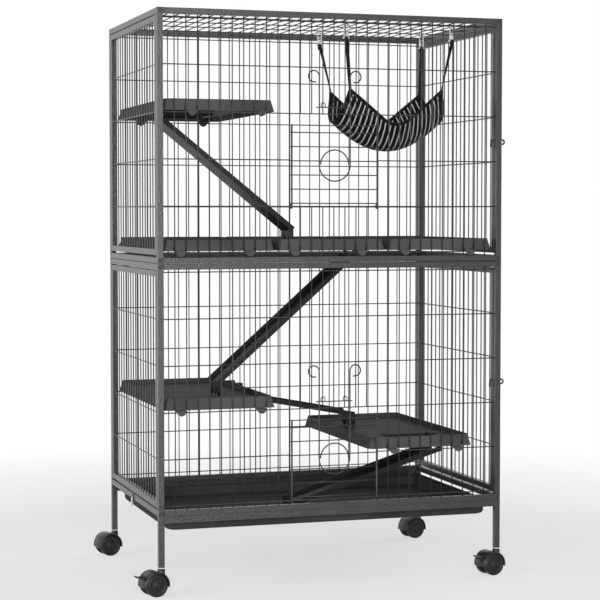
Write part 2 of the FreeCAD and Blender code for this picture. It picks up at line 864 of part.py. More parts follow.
def tray():
    """Shallow pan with rounded lower corners and a flange along its rim."""
    half_x = x_out - tray_end_inset
    half_y = y_out - tray_side_inset
    bevel = tray_bevel
    t = tray_wall
    levels = [(bevel, 0), (tray_knee, tray_knee), (0, bevel)]
    outer = [(half_x - d, half_y - d, tray_corner, tray_bottom + h) for d, h in levels]
    inner = [(half_x - d - t, half_y - d - t, tray_corner - t, tray_floor + h) for d, h in levels]
    outer = stacked(outer + [(half_x, half_y, tray_corner, tray_top)])
    inner = stacked(inner + [(half_x - t, half_y - t, tray_corner - t, tray_top + t)])
    brim = stacked([(half_x + tray_end_flange, half_y + tray_flange, tray_corner, tray_top - t),
                    (half_x + tray_end_flange, half_y + tray_flange, tray_corner, tray_top)])
    return [fused([outer, brim]).cut(inner)]


def runners():
    """Channel of bent sheet under the front and back bottom rails, with a lip for the tray."""
    parts = []
    top = lower_bottom
    low = lower_bottom - runner_height
    for sy in (-1, 1):
        out = sy * (y_out - runner_sheet)
        web = block(-x_in, x_in, out, out - sy * runner_sheet, low, top)
        head = block(-x_in, x_in, out, sy * y_in, top - runner_sheet, top)
        lip = block(-x_in, x_in, out, out - sy * runner_lip, low, low + runner_sheet)
        parts.append(fused([web, head, lip]))
    return parts


clip_z = lower_bottom + tube / 2


def saddles():
    """Plates on the outer faces of the side rails, with the rivets that the tray clips turn on."""
    parts = []
    for sx in (-1, 1):
        x0 = sx * x_out
        x1 = x0 + sx * saddle_sheet
        half = saddle_width / 2
        plate = block(x0, x1, clip_y - half, clip_y + half, lower_bottom, lower_bottom + tube)
        length = saddle_sheet + 2 * clip_sheet + tray_play
        stud = facet_bar(V(x0, clip_y, clip_z), V(sx * length, 0, 0), rivet_radius)
        parts.append(fused([plate, stud]))
    return parts


def tray_clip(sx, angle):
    """Small turning plate on a rivet, hanging down over the end of the tray at angle 0."""
    x0 = sx * (x_out + saddle_sheet + tray_play)
    x1 = x0 + sx * clip_sheet
    half = clip_width / 2
    reach = clip_length - half
    points = []
    for i in range(4 * corner_chords):
        a = 2 * math.pi * (i + 0.5) / (4 * corner_chords)
        drop = reach if math.sin(a) < 0 else 0
        points.append(V(x0, clip_y + half * math.cos(a), clip_z - drop + half * math.sin(a)))
    bore = facet_bar(V(x0, clip_y, clip_z), V(x1 - x0, 0, 0), bore_radius(rivet_radius))
    clip = outline_face(points).extrude(V(x1 - x0, 0, 0)).cut(bore)
    return [turned(clip, angle, V(0, clip_y, clip_z), X_AXIS)]


def sector(radius, start, end, width, centre):
    """Slice of a disc in the XZ plane, its rim in short chords, centred on its width along Y."""
    points = [V(centre.x, centre.y - width / 2, centre.z)]
    steps = max(3, int((end - start) / hood_chord))
    for i in range(steps + 1):
        a = math.radians(start + (end - start) * i / steps)
        points.append(points[0] + V(radius * math.cos(a), 0, radius * math.sin(a)))
    return outline_face(points).extrude(V(0, width, 0))


hood_inner = wheel_radius + hood_gap
hood_outer = hood_inner + hood_sheet
caster_width = wheel_spacing + wheel_width
web_width = wheel_spacing - wheel_width - 2 * caster_play
hub = V(-caster_trail, 0, wheel_radius)
lever_reach = hood_outer + lever_barrel
lever_pivot = V(hub.x - lever_reach * math.cos(math.radians(lever_angle)), 0,
                hub.z + lever_reach * math.sin(math.radians(lever_angle)))
lever_width = web_width


def caster_body(braked):
    """Web between the wheels, hood over them and stem, with cheeks for a brake lever."""
    block_top = post_foot - socket_flange - caster_clearance
    hood = sector(hood_outer, hood_start, hood_end, caster_width, hub)
    hood = hood.cut(sector(hood_inner, hood_start - hood_margin, hood_end + hood_margin,
                           2 * caster_width, hub))
    web = sector(hood_outer, web_start, hood_end, web_width, hub)
    bosses = facet_bar(V(hub.x, -web_width / 2, hub.z), Y_AXIS * web_width, boss_radius)
    half = stem_block / 2
    column = block(-half, half, -web_width / 2, web_width / 2, hub.z, block_top)
    collar = facet_bar(V(0, 0, block_top - stem_radius), Z_AXIS * stem_radius, half)
    stem_run = Z_AXIS * (stem_length + socket_flange - caster_clearance)
    stem = facet_bar(V(0, 0, block_top), stem_run, stem_radius)
    body = fused([hood, web, bosses, column, collar, stem])
    body = body.cut(facet_bar(V(hub.x, -caster_width / 2, hub.z), Y_AXIS * caster_width,
                          bore_radius(axle_radius)))
    if braked:
        cheeks = []
        for s in (-1, 1):
            y0 = s * (lever_width / 2 + caster_clearance)
            y1 = y0 + s * lever_cheek
            eye = V(lever_pivot.x, min(y0, y1), lever_pivot.z)
            disc = facet_bar(eye, Y_AXIS * lever_cheek, lever_barrel + cheek_rim)
            hood_edge = hub.x - hood_inner * math.cos(math.radians(lever_angle + cheek_turn))
            arm = block(lever_pivot.x, hood_edge, y0, y1,
                        lever_pivot.z, lever_pivot.z + lever_barrel + cheek_rim)
            hole = facet_bar(eye, Y_AXIS * lever_cheek, bore_radius(hinge_pin))
            cheeks.append(fused([disc, arm]).cut(hole))
        room = lever_width / 2 + caster_clearance
        clear = facet_bar(V(lever_pivot.x, -room, lever_pivot.z), Y_AXIS * (2 * room),
                          corner_radius(2 * (lever_barrel + caster_clearance), facet_sides))
        body = fused([body.cut(clear)] + cheeks)
    return body


def wheel(side):
    """Wheel with bevelled tread edges and a dished outer face, on one side of the web."""
    def at(y):
        return V(hub.x, y, hub.z)
    mid = side * wheel_spacing / 2
    inner = mid - side * wheel_width / 2
    outer = mid + side * wheel_width / 2
    rim = wheel_radius - wheel_edge
    tyre = turned_bar([(at(inner), rim), (at(inner + side * wheel_edge), wheel_radius),
                       (at(outer - side * wheel_edge), wheel_radius), (at(outer), rim)], wheel_sides)
    floor = wheel_dish - wheel_recess
    dish = turned_bar([(at(outer - side * wheel_recess), floor), (at(outer), wheel_dish)], wheel_sides)
    bore = facet_bar(at(-caster_width), Y_AXIS * (2 * caster_width), axle_radius)
    return tyre.cut(dish).cut(bore)


def caster_wheels():
    """Two wheels on an axle."""
    span = caster_width - 2 * wheel_recess
    axle = facet_bar(V(hub.x, -span / 2, hub.z), Y_AXIS * span, axle_radius)
    return [wheel(-1), wheel(1), axle]


def brake_lever():
    """Foot lever with a barrel and pin, pointing away from the caster."""
    barrel = facet_bar(V(lever_pivot.x, -lever_width / 2, lever_pivot.z), Y_AXIS * lever_width, lever_barrel)
    span = lever_width + 2 * (caster_clearance + lever_cheek)
    pin = facet_bar(V(lever_pivot.x, -span / 2, lever_pivot.z), Y_AXIS * span, hinge_pin)
    tongue = block(lever_pivot.x - lever_length, lever_pivot.x, -lever_width / 2, lever_width / 2,
                   lever_pivot.z - lever_thick / 2, lever_pivot.z + lever_thick / 2)
    return fused([barrel, pin, tongue])


def casters():
    """Four casters under the posts, all trailing to the left; levers on the front pair."""
    nodes = {}
    for name, sx, sy in corner_signs():
        place = (sx * post_x, sy * post_y, 0)

        def put(shape):
            return moved(turned(shape, caster_turn, V(0, 0, 0), Z_AXIS), *place)
        braked = sy < 0
        nodes["caster_body_" + name] = [put(caster_body(braked))]
        nodes["caster_wheels_" + name] = [put(s) for s in caster_wheels()]
        if braked:
            nodes["caster_lever_" + name] = [put(brake_lever())]
    return nodes


hang_front = top_row(0)
hang_back = top_row(2)
hang_left = gap_x(2)
hang_right = gap_x(12)
cloth_left = hang_left + strap_draw_left
cloth_right = hang_right - strap_draw_right
strap_top_z = top_row_z - strap_drop
cloth_corner_z = top_row_z - corner_drop
cloth_side_z = top_row_z - side_drop
cloth_edge_z = top_row_z - edge_drop
cloth_belly_z = top_row_z - belly_drop
cloth_front = hang_front + hammock_inset
cloth_back = hang_back - hammock_inset


def sag_profile(half, sag, bend, thick):
    """Points of a hanging strip: two straight sides tangent to a round bottom, and its outer copy."""
    def side(radius, drop):
        dist = math.hypot(half, drop - bend)
        a = math.atan2(bend - drop, half) - math.asin(radius / dist)
        return a
    a = side(bend, sag)
    touch = V(-bend * math.sin(-a), 0, bend - bend * math.cos(a))
    normal = V(math.sin(a), 0, -math.cos(a))
    inner = [V(-half, 0, sag), touch, V(0, 0, 0)]
    outer = [inner[0] + normal * thick, touch + normal * thick, V(0, 0, -thick)]
    return inner, outer


def cloth_section(y, half, edge_z, low_z):
    """Closed outline of the cloth at one Y."""
    mid_x = (cloth_left + cloth_right) / 2
    inner, outer = sag_profile(half, edge_z - low_z, hammock_bend, hammock_cloth)

    def at(p, s):
        return V(mid_x + s * p.x, y, low_z + p.z)
    points = []
    for ring, order in ((inner, 1), (outer, -1)):
        lip, touch, low = ring
        radius = hammock_bend + (hammock_cloth if order < 0 else 0)
        turn = math.asin(min(1.0, abs(touch.x) / radius))
        row = [at(lip, 1)]
        for i in range(2 * cloth_chords + 1):
            a = turn * (1 - i / cloth_chords)
            row.append(V(mid_x - radius * math.sin(a), y, low_z + hammock_bend - radius * math.cos(a)))
        row.append(at(lip, -1))
        points += row if order > 0 else row[::-1]
    return points


def hammock():
    """Cloth sagging from four corners, straps from its corners and clips on the top rows."""
    half = (cloth_right - cloth_left) / 2
    mid_y = (cloth_front + cloth_back) / 2
    reach = (cloth_back - cloth_front) / 2
    sections = []
    for i in range(cloth_spans + 1):
        s = 2 * i / cloth_spans - 1
        w = 1 - s * s
        sections.append(cloth_section(mid_y + s * reach, half - hammock_side_draw * w,
                                      cloth_corner_z + (cloth_side_z - cloth_corner_z) * w,
                                      cloth_edge_z + (cloth_belly_z - cloth_edge_z) * w))
    cloth = skin(sections, True)
    straps, clips = [], []
    for x, corner_x in ((hang_left, cloth_left), (hang_right, cloth_right)):
        for y, corner_y, inward in ((hang_front, cloth_front, 1), (hang_back, cloth_back, -1)):
            low = V(corner_x, corner_y, cloth_corner_z + hang_play)
            high = V(x, y, strap_top_z)
            w, t = strap_width / 2, strap_sheet / 2
            corners = [low + V(-w, -t, 0), low + V(w, -t, 0), low + V(w, t, 0), low + V(-w, t, 0)]
            straps.append(outline_face(corners).extrude(high - low))
            c = clip_wide / 2
            r = wire / 2 + hang_play
            back = block(x - c, x + c, y + r, y + r + clip_plate, strap_top_z, top_row_z + r + clip_plate)
            over = block(x - c, x + c, y - r - clip_plate, y + r, top_row_z + r, top_row_z + r + clip_plate)
            lip = block(x - c, x + c, y - r - clip_plate, y - r, top_row_z - 2 * clip_plate, top_row_z + r)
            foot = block(x - c, x + c, y - strap_sheet / 2, y + r, strap_top_z, strap_top_z + clip_plate)
            clips.append(fused([back, over, lip, foot]))
    return {"hammock_cloth": [cloth], "hammock_straps": straps, "hammock_clips": clips}


def build():
    """All pieces by node name."""
    nodes = {}
    nodes.update(posts())
    nodes.update(rails())
    nodes.update(bolts())
    nodes["front_mesh_lower"] = wire_panel(-1, lower_bottom, lower_row, lower_hinge_row)
    nodes["front_mesh_upper"] = wire_panel(-1, upper_bottom, upper_row, upper_hinge_row)
    nodes["back_mesh_lower"] = wire_panel(1, lower_bottom, lower_row)
    nodes["back_mesh_upper"] = wire_panel(1, upper_bottom, upper_row)
    nodes["top_mesh"] = top_panel()
    nodes["left_panel_lower"] = framed_panel(-1, lower_bottom)
    nodes["left_panel_upper"] = framed_panel(-1, upper_bottom)
    nodes["left_panel_spacers"] = left_spacers()
    nodes["side_door_lower"] = side_door(lower_bottom)
    nodes["side_door_upper"] = side_door(upper_bottom)
    nodes["side_hinge_brackets"] = hinge_brackets()
    nodes["side_latch_lower"] = side_latch(lower_bottom)
    nodes["side_latch_upper"] = side_latch(upper_bottom)
    for name, row_height, k in (("lower", lower_row, lower_hinge_row), ("upper", upper_row, upper_hinge_row)):
        z = row_height(k)
        nodes["front_door_" + name] = front_door(z)
        nodes["door_latch_" + name] = door_latch(z)
    nodes["door_keepers"] = keepers()
    nodes.update(shelves())
    nodes.update(ramps())
    nodes["base_tray"] = tray()
    nodes["tray_runners"] = runners()
    nodes["tray_clip_saddles"] = saddles()
    nodes["tray_clip_left"] = tray_clip(-1, 0)
    nodes["tray_clip_right"] = tray_clip(1, 90)
    nodes.update(casters())
    nodes.update(hammock())
    return nodes


def main():
    """Build every node and write it as a STEP file."""
    os.makedirs("parts", exist_ok=True)
    for name, solids in build().items():
        shape = solids[0] if len(solids) == 1 else Part.makeCompound(solids)
        shape.exportStep("parts/" + name + ".step")


main()
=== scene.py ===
import json
import math

import bmesh
import bpy
import numpy as np
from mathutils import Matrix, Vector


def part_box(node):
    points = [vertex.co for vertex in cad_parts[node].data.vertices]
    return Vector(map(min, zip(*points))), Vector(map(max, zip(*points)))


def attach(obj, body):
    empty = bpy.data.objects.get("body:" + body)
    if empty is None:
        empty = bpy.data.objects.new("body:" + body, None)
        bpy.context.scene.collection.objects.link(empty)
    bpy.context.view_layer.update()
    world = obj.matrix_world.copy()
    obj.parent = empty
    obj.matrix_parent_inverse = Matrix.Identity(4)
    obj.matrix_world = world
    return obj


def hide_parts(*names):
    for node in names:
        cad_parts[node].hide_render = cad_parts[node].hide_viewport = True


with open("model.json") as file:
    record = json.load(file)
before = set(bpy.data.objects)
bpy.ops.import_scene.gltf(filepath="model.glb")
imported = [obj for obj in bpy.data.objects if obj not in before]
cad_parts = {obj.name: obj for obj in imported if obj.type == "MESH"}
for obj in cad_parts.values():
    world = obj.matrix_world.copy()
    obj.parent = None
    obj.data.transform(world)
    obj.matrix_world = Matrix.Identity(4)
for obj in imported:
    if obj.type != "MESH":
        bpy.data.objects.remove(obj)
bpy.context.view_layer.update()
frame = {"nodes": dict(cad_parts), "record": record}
cad = frame["nodes"]
body_of = {node: body for body, nodes in frame["record"]["behaviour"]["bodies"].items() for node in nodes}
slot_of = {row["node"]: row["material_slot"] for row in frame["record"]["subparts"]}
MM = 0.001
TURN = 2 * math.pi
ACROSS = np.array([1.0, 0.0, 0.0])
BACK = np.array([0.0, 1.0, 0.0])
UP = np.array([0.0, 0.0, 1.0])
CORNERS = {"front_left": (-1, -1), "front_right": (1, -1), "back_left": (-1, 1), "back_right": (1, 1)}


# Node graphs

# A Mix node has sockets of each name for numbers, vectors and colours; these are the ones for colours
MIX_SHARE = 0
MIX_A = 6
MIX_B = 7
MIX_RESULT = 2


def add(tree, kind, inputs=None, **settings):
    """New shader node with its settings and the values of its sockets."""
    node = tree.nodes.new(kind)
    for key, value in settings.items():
        setattr(node, key, value)
    for key, value in (inputs or {}).items():
        node.inputs[key].default_value = value
    return node


def blank(name, roughness=0.5, metallic=0.0, **sockets):
    """Material with a Principled shader; returns it with its tree, shader and Object coordinates."""
    mat = bpy.data.materials.new(name)
    mat.use_nodes = True
    tree = mat.node_tree
    shader = tree.nodes["Principled BSDF"]
    shader.inputs["Roughness"].default_value = roughness
    shader.inputs["Metallic"].default_value = metallic
    for key, value in sockets.items():
        shader.inputs[key.replace("_", " ")].default_value = value
    place = add(tree, "ShaderNodeTexCoord").outputs["Object"]
    return mat, tree, shader, place


def noise(tree, place, scale, detail=2.0, rough=0.5):
    """Cloudy value from 0 to 1; scale is in clouds per metre."""
    node = add(tree, "ShaderNodeTexNoise", {"Scale": scale, "Detail": detail, "Roughness": rough})
    tree.links.new(place, node.inputs["Vector"])
    return node.outputs["Fac"]


def cells(tree, place, scale, smooth=0.6):
    """Distance to the nearest of many scattered points, rounded off."""
    node = add(tree, "ShaderNodeTexVoronoi", {"Scale": scale, "Smoothness": smooth}, feature="SMOOTH_F1")
    tree.links.new(place, node.inputs["Vector"])
    return node.outputs["Distance"]


def stretched(tree, place, factors):
    """Coordinates scaled by a factor along each axis."""
    node = add(tree, "ShaderNodeMapping", {"Scale": factors})
    tree.links.new(place, node.inputs["Vector"])
    return node.outputs["Vector"]


def ramp(tree, value, stops):
    """Colours at places from 0 to 1, with straight blends between them."""
    node = add(tree, "ShaderNodeValToRGB")
    band = node.color_ramp.elements
    while len(band) < len(stops):
        band.new(0.5)
    for element, (at, colour) in zip(band, stops):
        element.position = at
        element.color = (*colour, 1.0)
    tree.links.new(value, node.inputs["Fac"])
    return node.outputs["Color"]


def levels(tree, value, low, high, start=0.0, end=1.0):
    """Value moved from the span start..end to the span low..high."""
    spans = {"From Min": start, "From Max": end, "To Min": low, "To Max": high}
    node = add(tree, "ShaderNodeMapRange", spans)
    tree.links.new(value, node.inputs["Value"])
    return node.outputs["Result"]


def reckon(tree, operation, a, b):
    """Sum, product or the like of two values, or of a value and a number."""
    node = add(tree, "ShaderNodeMath", operation=operation)
    for socket, value in zip(node.inputs, (a, b)):
        if isinstance(value, (int, float)):
            socket.default_value = value
        else:
            tree.links.new(value, socket)
    return node.outputs["Value"]


def mixed(tree, share, a, b):
    """Colour a blended into colour b by a share; a and b are sockets or plain colours."""
    node = add(tree, "ShaderNodeMix", data_type="RGBA")
    tree.links.new(share, node.inputs[MIX_SHARE])
    for place, value in ((MIX_A, a), (MIX_B, b)):
        if isinstance(value, tuple):
            node.inputs[place].default_value = (*value, 1.0)
        else:
            tree.links.new(value, node.inputs[place])
    return node.outputs[MIX_RESULT]


def relief(tree, shader, heights):
    """Chain of bumps; each is a height value, a strength and a depth in metres."""
    before = None
    for height, strength, depth in heights:
        node = add(tree, "ShaderNodeBump", {"Strength": strength, "Distance": depth})
        tree.links.new(height, node.inputs["Height"])
        if before is not None:
            tree.links.new(before, node.inputs["Normal"])
        before = node.outputs["Normal"]
    for socket in ("Normal", "Coat Normal"):
        tree.links.new(before, shader.inputs[socket])


# Finishes, with sizes in metres

# Most values of a noise lie in this span
NOISE_SPAN = (0.3, 0.7)


def grey(value):
    """Grey with a trace of blue."""
    return (value, value, value * 1.02)


def hammered_paint(name, dark, light, cell, lacquer=0.0):
    """Powder coat with dimples about one cell wide, paler on the ridges between them, and cloudy blotches."""
    mat, tree, shader, place = blank(name, Specular_IOR_Level=0.3, Coat_Weight=lacquer, Coat_Roughness=0.25)
    dimples = cells(tree, place, 1 / cell)
    grain = noise(tree, place, 2.2 / cell, detail=3.0, rough=0.7)
    blotch = noise(tree, place, 25.0)
    ridges = reckon(tree, "MULTIPLY", dimples, 0.55)
    tone = reckon(tree, "ADD", ridges, reckon(tree, "MULTIPLY", grain, 0.5))
    tone = reckon(tree, "ADD", tone, levels(tree, blotch, -0.06, 0.06, *NOISE_SPAN))
    middle = (dark + light) / 2
    colour = ramp(tree, tone, [(0.3, grey(dark)), (0.55, grey(middle)), (0.8, grey(light))])
    tree.links.new(colour, shader.inputs["Base Color"])
    tree.links.new(levels(tree, grain, 0.32, 0.52, *NOISE_SPAN), shader.inputs["Roughness"])
    relief(tree, shader, [(dimples, 0.55, 0.25 * cell), (grain, 0.25, 0.0002)])
    return mat


def moulded_plastic(name, base, rough, gloss=0.25, grain_size=0.0009, scuff=0.4):
    """Moulded plastic with a fine sparkled grain, faint flow clouds and a few paler scuffs."""
    mat, tree, shader, place = blank(name, Specular_IOR_Level=gloss)
    grain = noise(tree, place, 1 / grain_size, detail=3.0, rough=0.6)
    flow = noise(tree, stretched(tree, place, (1.0, 3.0, 1.0)), 7.0, detail=3.0)
    scratch = noise(tree, stretched(tree, place, (14.0, 160.0, 40.0)), 1.0, detail=4.0, rough=0.65)
    tone = mixed(tree, levels(tree, flow, 0.0, 1.0, 0.35, 0.65), grey(base * 0.8), grey(base * 1.2))
    mark = levels(tree, scratch, 0.0, scuff, 0.66, 0.76)
    tree.links.new(mixed(tree, mark, tone, grey(base * 2.2 + 0.01)), shader.inputs["Base Color"])
    shine = levels(tree, grain, rough - 0.07, rough + 0.09, *NOISE_SPAN)
    tree.links.new(shine, shader.inputs["Roughness"])
    relief(tree, shader, [(grain, 0.22, 0.00025)])
    return mat


def bright_metal(name, base, rough):
    """Zinc-plated sheet with fine drawn lines and cloudy crystals."""
    mat, tree, shader, place = blank(name, metallic=1.0)
    lines = noise(tree, stretched(tree, place, (900.0, 900.0, 25.0)), 1.0)
    cloud = noise(tree, place, 120.0)
    tone = mixed(tree, cloud, grey(base * 0.82), grey(base * 1.08))
    tree.links.new(tone, shader.inputs["Base Color"])
    shine = levels(tree, lines, rough - 0.08, rough + 0.12, *NOISE_SPAN)
    tree.links.new(shine, shader.inputs["Roughness"])
    relief(tree, shader, [(lines, 0.12, 0.0001)])
    return mat


def milky_plastic(name, base, rough, through):
    """Pale plastic that lets a share of the light through, with faint flow lines."""
    mat, tree, shader, place = blank(name, rough, Transmission_Weight=through, IOR=1.46)
    flow = noise(tree, stretched(tree, place, (120.0, 120.0, 400.0)), 1.0, detail=3.0)
    tree.links.new(mixed(tree, flow, grey(base * 0.9), grey(base)), shader.inputs["Base Color"])
    relief(tree, shader, [(flow, 0.1, 0.0003)])
    return mat


def flat_map(tree):
    """Place on the flat cloth in metres, whole and split into across and along."""
    flat = add(tree, "ShaderNodeUVMap", uv_map="flat").outputs["UV"]
    split = add(tree, "ShaderNodeSeparateXYZ")
    tree.links.new(flat, split.inputs["Vector"])
    return flat, split.outputs["X"], split.outputs["Y"]


def ridged(tree, value, step):
    """Wave from -1 to 1 that repeats after each step of a value."""
    return reckon(tree, "SINE", reckon(tree, "MULTIPLY", value, TURN / step), 0.0)


def striped_cloth(name, step, line):
    """Dark woven cloth with thin pale stripes across it, a little unsteady and soft at their edges."""
    wander, blur, thread = 0.0012, 0.0004, 0.0011
    mat, tree, shader, _ = blank(name, 0.85, Specular_IOR_Level=0.1, Sheen_Weight=0.04, Sheen_Roughness=0.5)
    flat, across, along = flat_map(tree)
    wobble = noise(tree, flat, 22.0)
    where = reckon(tree, "ADD", across, levels(tree, wobble, -wander, wander, *NOISE_SPAN))
    phase = reckon(tree, "PINGPONG", where, step / 2)
    stripe = levels(tree, phase, 1.0, 0.0, line / 2 - blur, line / 2 + blur)
    weave = reckon(tree, "MULTIPLY", ridged(tree, across, thread), ridged(tree, along, thread))
    fuzz = noise(tree, flat, 900.0)
    ground = mixed(tree, fuzz, grey(0.002), grey(0.008))
    pale = mixed(tree, fuzz, grey(0.45), grey(0.68))
    tree.links.new(mixed(tree, stripe, ground, pale), shader.inputs["Base Color"])
    relief(tree, shader, [(weave, 0.3, 0.0003), (fuzz, 0.2, 0.0003)])
    return mat


def webbing(name, base, pick):
    """Narrow woven tape with slanting picks across it."""
    mat, tree, shader, _ = blank(name, 0.75, Specular_IOR_Level=0.15, Sheen_Weight=0.04, Sheen_Roughness=0.4)
    flat, across, along = flat_map(tree)
    slant = reckon(tree, "ADD", along, reckon(tree, "PINGPONG", across, 2.5 * pick))
    ribs = ridged(tree, slant, pick)
    fuzz = noise(tree, flat, 700.0)
    tree.links.new(mixed(tree, fuzz, grey(base * 0.6), grey(base * 1.6)), shader.inputs["Base Color"])
    relief(tree, shader, [(ribs, 0.4, 0.0003), (fuzz, 0.2, 0.0002)])
    return mat


frame_paint = hammered_paint("hammered_tube_paint", 0.006, 0.045, cell=0.0034, lacquer=0.5)
wire_paint = hammered_paint("hammered_wire_paint", 0.02, 0.05, cell=0.0014)
shelf_black = moulded_plastic("satin_black_shelf", 0.08, 0.6, gloss=0.03)
ramp_black = moulded_plastic("satin_black_ramp", 0.006, 0.45, gloss=0.2)
tray_black = moulded_plastic("satin_charcoal_tray", 0.05, 0.6, gloss=0.03)
cap_black = moulded_plastic("matte_black_cap", 0.025, 0.5)
caster_black = moulded_plastic("satin_black_caster", 0.014, 0.34, gloss=0.4, scuff=0.25)
tyre_black = moulded_plastic("dull_black_tyre", 0.013, 0.45, grain_size=0.0006, scuff=0.6)
socket_white = milky_plastic("white_socket", 0.85, 0.4, through=0.0)
clip_clear = milky_plastic("milky_clip", 0.92, 0.25, through=0.2)
zinc = bright_metal("bright_zinc", 0.62, 0.34)
dark_zinc = hammered_paint("dark_fitting_paint", 0.02, 0.05, cell=0.0012)
finish_of_slot = {
    "frame_paint": frame_paint, "panel_paint": frame_paint, "wire_paint": wire_paint,
    "door_paint": wire_paint, "latch_wire": wire_paint, "fittings": dark_zinc,
    "shelf_plastic": shelf_black, "ramp_plastic": ramp_black, "tray_plastic": tray_black,
    "cap_plastic": cap_black, "socket_plastic": socket_white, "clip_metal": zinc,
    "caster_plastic": caster_black, "wheel_plastic": tyre_black, "lever_plastic": caster_black,
    "clip_plastic": clip_clear,
}
for node, slot in slot_of.items():
    if slot in finish_of_slot:
        held = cad[node].data.materials
        held.clear()
        held.append(finish_of_slot[slot])


# Surfaces, in metres

SAME_PLACE = 1e-5
MERGE_DISTANCE = 2e-6
FLAT_ANGLE = math.radians(0.5)
SHARP_ANGLE = math.radians(40)


def joined(forms):
    """Several forms as one; a form is an array of points and a list of face arrays."""
    sizes = np.cumsum([0] + [len(points) for points, _ in forms])
    faces = [block + base for (_, blocks), base in zip(forms, sizes) for block in blocks]
    return np.concatenate([points for points, _ in forms]), faces


def piece(name, form, finish, nodes):
    """New object from a form, standing for CAD nodes and riding on their body; flat ends stay flat."""
    points, blocks = form
    data = bpy.data.meshes.new(name)
    data.from_pydata(points.tolist(), [], [face for block in blocks for face in block.tolist()])
    smooth = [np.full(len(block), block.shape[1] <= 4) for block in blocks]
    data.polygons.foreach_set("use_smooth", np.concatenate(smooth))
    data.materials.append(finish)
    made = bpy.data.objects.new(name, data)
    bpy.context.scene.collection.objects.link(made)
    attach(made, body_of[nodes[0]])
    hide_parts(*nodes)
    return made


def between_rings(index):
    """Four-cornered faces between neighbouring rings; the last axis goes round, the one before it along."""
    a, b = index[..., :-1, :], index[..., 1:, :]
    return np.stack([a, np.roll(a, -1, -1), np.roll(b, -1, -1), b], -1).reshape(-1, 4)


def unit(rows):
    """Rows scaled to length one."""
    return rows / np.linalg.norm(rows, axis=-1, keepdims=True)


def carried(rings):
    """Closed form through rings of points, given as rows along a path, with a flat end at each side."""
    index = np.arange(rings.shape[0] * rings.shape[1]).reshape(rings.shape[:2])
    return rings.reshape(-1, 3), [between_rings(index), index[:1, ::-1], index[-1:]]


def signed_volume(form):
    """Volume inside a closed form, negative where its faces look inwards; each face is a fan of triangles."""
    points, blocks = form
    total = 0.0
    for block in blocks:
        for k in range(1, block.shape[1] - 1):
            total += np.sum(points[block[:, 0]] * np.cross(points[block[:, k]], points[block[:, k + 1]]))
    return total / 6


def closed(rings):
    """Closed form through rings of points, its faces turned outwards whichever way the rings run."""
    form = carried(rings)
    return form if signed_volume(form) > 0 else carried(rings[:, ::-1])


def slab(low, high, edge):
    """Block with its edges cut off: an eight-cornered outline in four layers, the outer two drawn in."""
    x0, y0, z0 = low
    x1, y1, z1 = high
    rings = []
    for z, d in ((z0, edge), (z0 + edge, 0.0), (z1 - edge, 0.0), (z1, edge)):
        c = d + edge
        rings.append([[x0 + c, y0 + d, z], [x1 - c, y0 + d, z], [x1 - d, y0 + c, z], [x1 - d, y1 - c, z],
                      [x1 - c, y1 - d, z], [x0 + c, y1 - d, z], [x0 + d, y1 - c, z], [x0 + d, y0 + c, z]])
    return closed(MM * np.array(rings))


def round_bars(starts, ends, radius, sides=10):
    """Straight wires: a circle square to each run, carried from its start to its end."""
    way = unit(ends - starts)
    steep = np.abs(way[:, 2:]) > 0.9
    u = unit(np.cross(way, np.where(steep, ACROSS, UP)))
    v = np.cross(way, u)
    turn = TURN * (np.arange(sides) + 0.5) / sides
    ring = radius * (np.cos(turn)[:, None] * u[:, None] + np.sin(turn)[:, None] * v[:, None])
    points = np.stack([starts[:, None] + ring, ends[:, None] + ring], 1)
    index = np.arange(points.size // 3).reshape(points.shape[:3])
    return points.reshape(-1, 3), [between_rings(index), index[:, 0, ::-1], index[:, 1]]


def bent_wire(path, square, radius, sides=12):
    """Wire bent in a plane square to a unit vector: a circle carried along a path, mitred at its points."""
    step = unit(np.diff(path, axis=0))
    before, after = np.vstack([step[:1], step]), np.vstack([step, step[-1:]])
    way = unit(before + after)
    side = np.cross(way, square) / np.sum(way * before, 1, keepdims=True)
    turn = TURN * np.arange(sides) / sides
    ring = np.cos(turn)[:, None] * square + np.sin(turn)[:, None] * side[:, None]
    return closed(path[:, None] + radius * ring)


def arc(x, z, radius, start, sweep, step=9.0):
    """Points (x, z) of a circle from a start angle through a signed sweep, about a step apart, in degrees."""
    turn = np.radians(start + sweep * np.linspace(0, 1, max(3, round(abs(sweep) / step) + 1)))
    return np.stack([x + radius * np.cos(turn), z + radius * np.sin(turn)], 1)


def upright(flat, y):
    """Points (x, z) in millimetres set in the upright plane at y, in metres."""
    return MM * np.insert(flat, 1, y, axis=1)


def solid_boxes(node):
    """Lowest and highest corner of each solid of a CAD node.

    Vertices in the same place are one; each starts with its own label, and the lowest label spreads over the
    triangles that share one.
    """
    data = cad[node].data
    co = np.empty(3 * len(data.vertices))
    data.vertices.foreach_get("co", co)
    co = co.reshape(-1, 3)
    corner = np.empty(len(data.loops), int)
    data.loops.foreach_get("vertex_index", corner)
    _, same = np.unique(np.round(co / SAME_PLACE).astype(int), axis=0, return_inverse=True)
    same = same.reshape(-1)
    tri = same[corner.reshape(-1, 3)]
    label = np.arange(same.max() + 1)
    spreading = True
    while spreading:
        spread = label.copy()
        np.minimum.at(spread, tri, label[tri].min(1)[:, None])
        spread = spread[spread]
        spreading = (spread != label).any()
        label = spread
    ids, group = np.unique(label[same], return_inverse=True)
    low, high = np.full((len(ids), 3), np.inf), np.full((len(ids), 3), -np.inf)
    np.minimum.at(low, group.reshape(-1), co)
    np.maximum.at(high, group.reshape(-1), co)
    return low, high


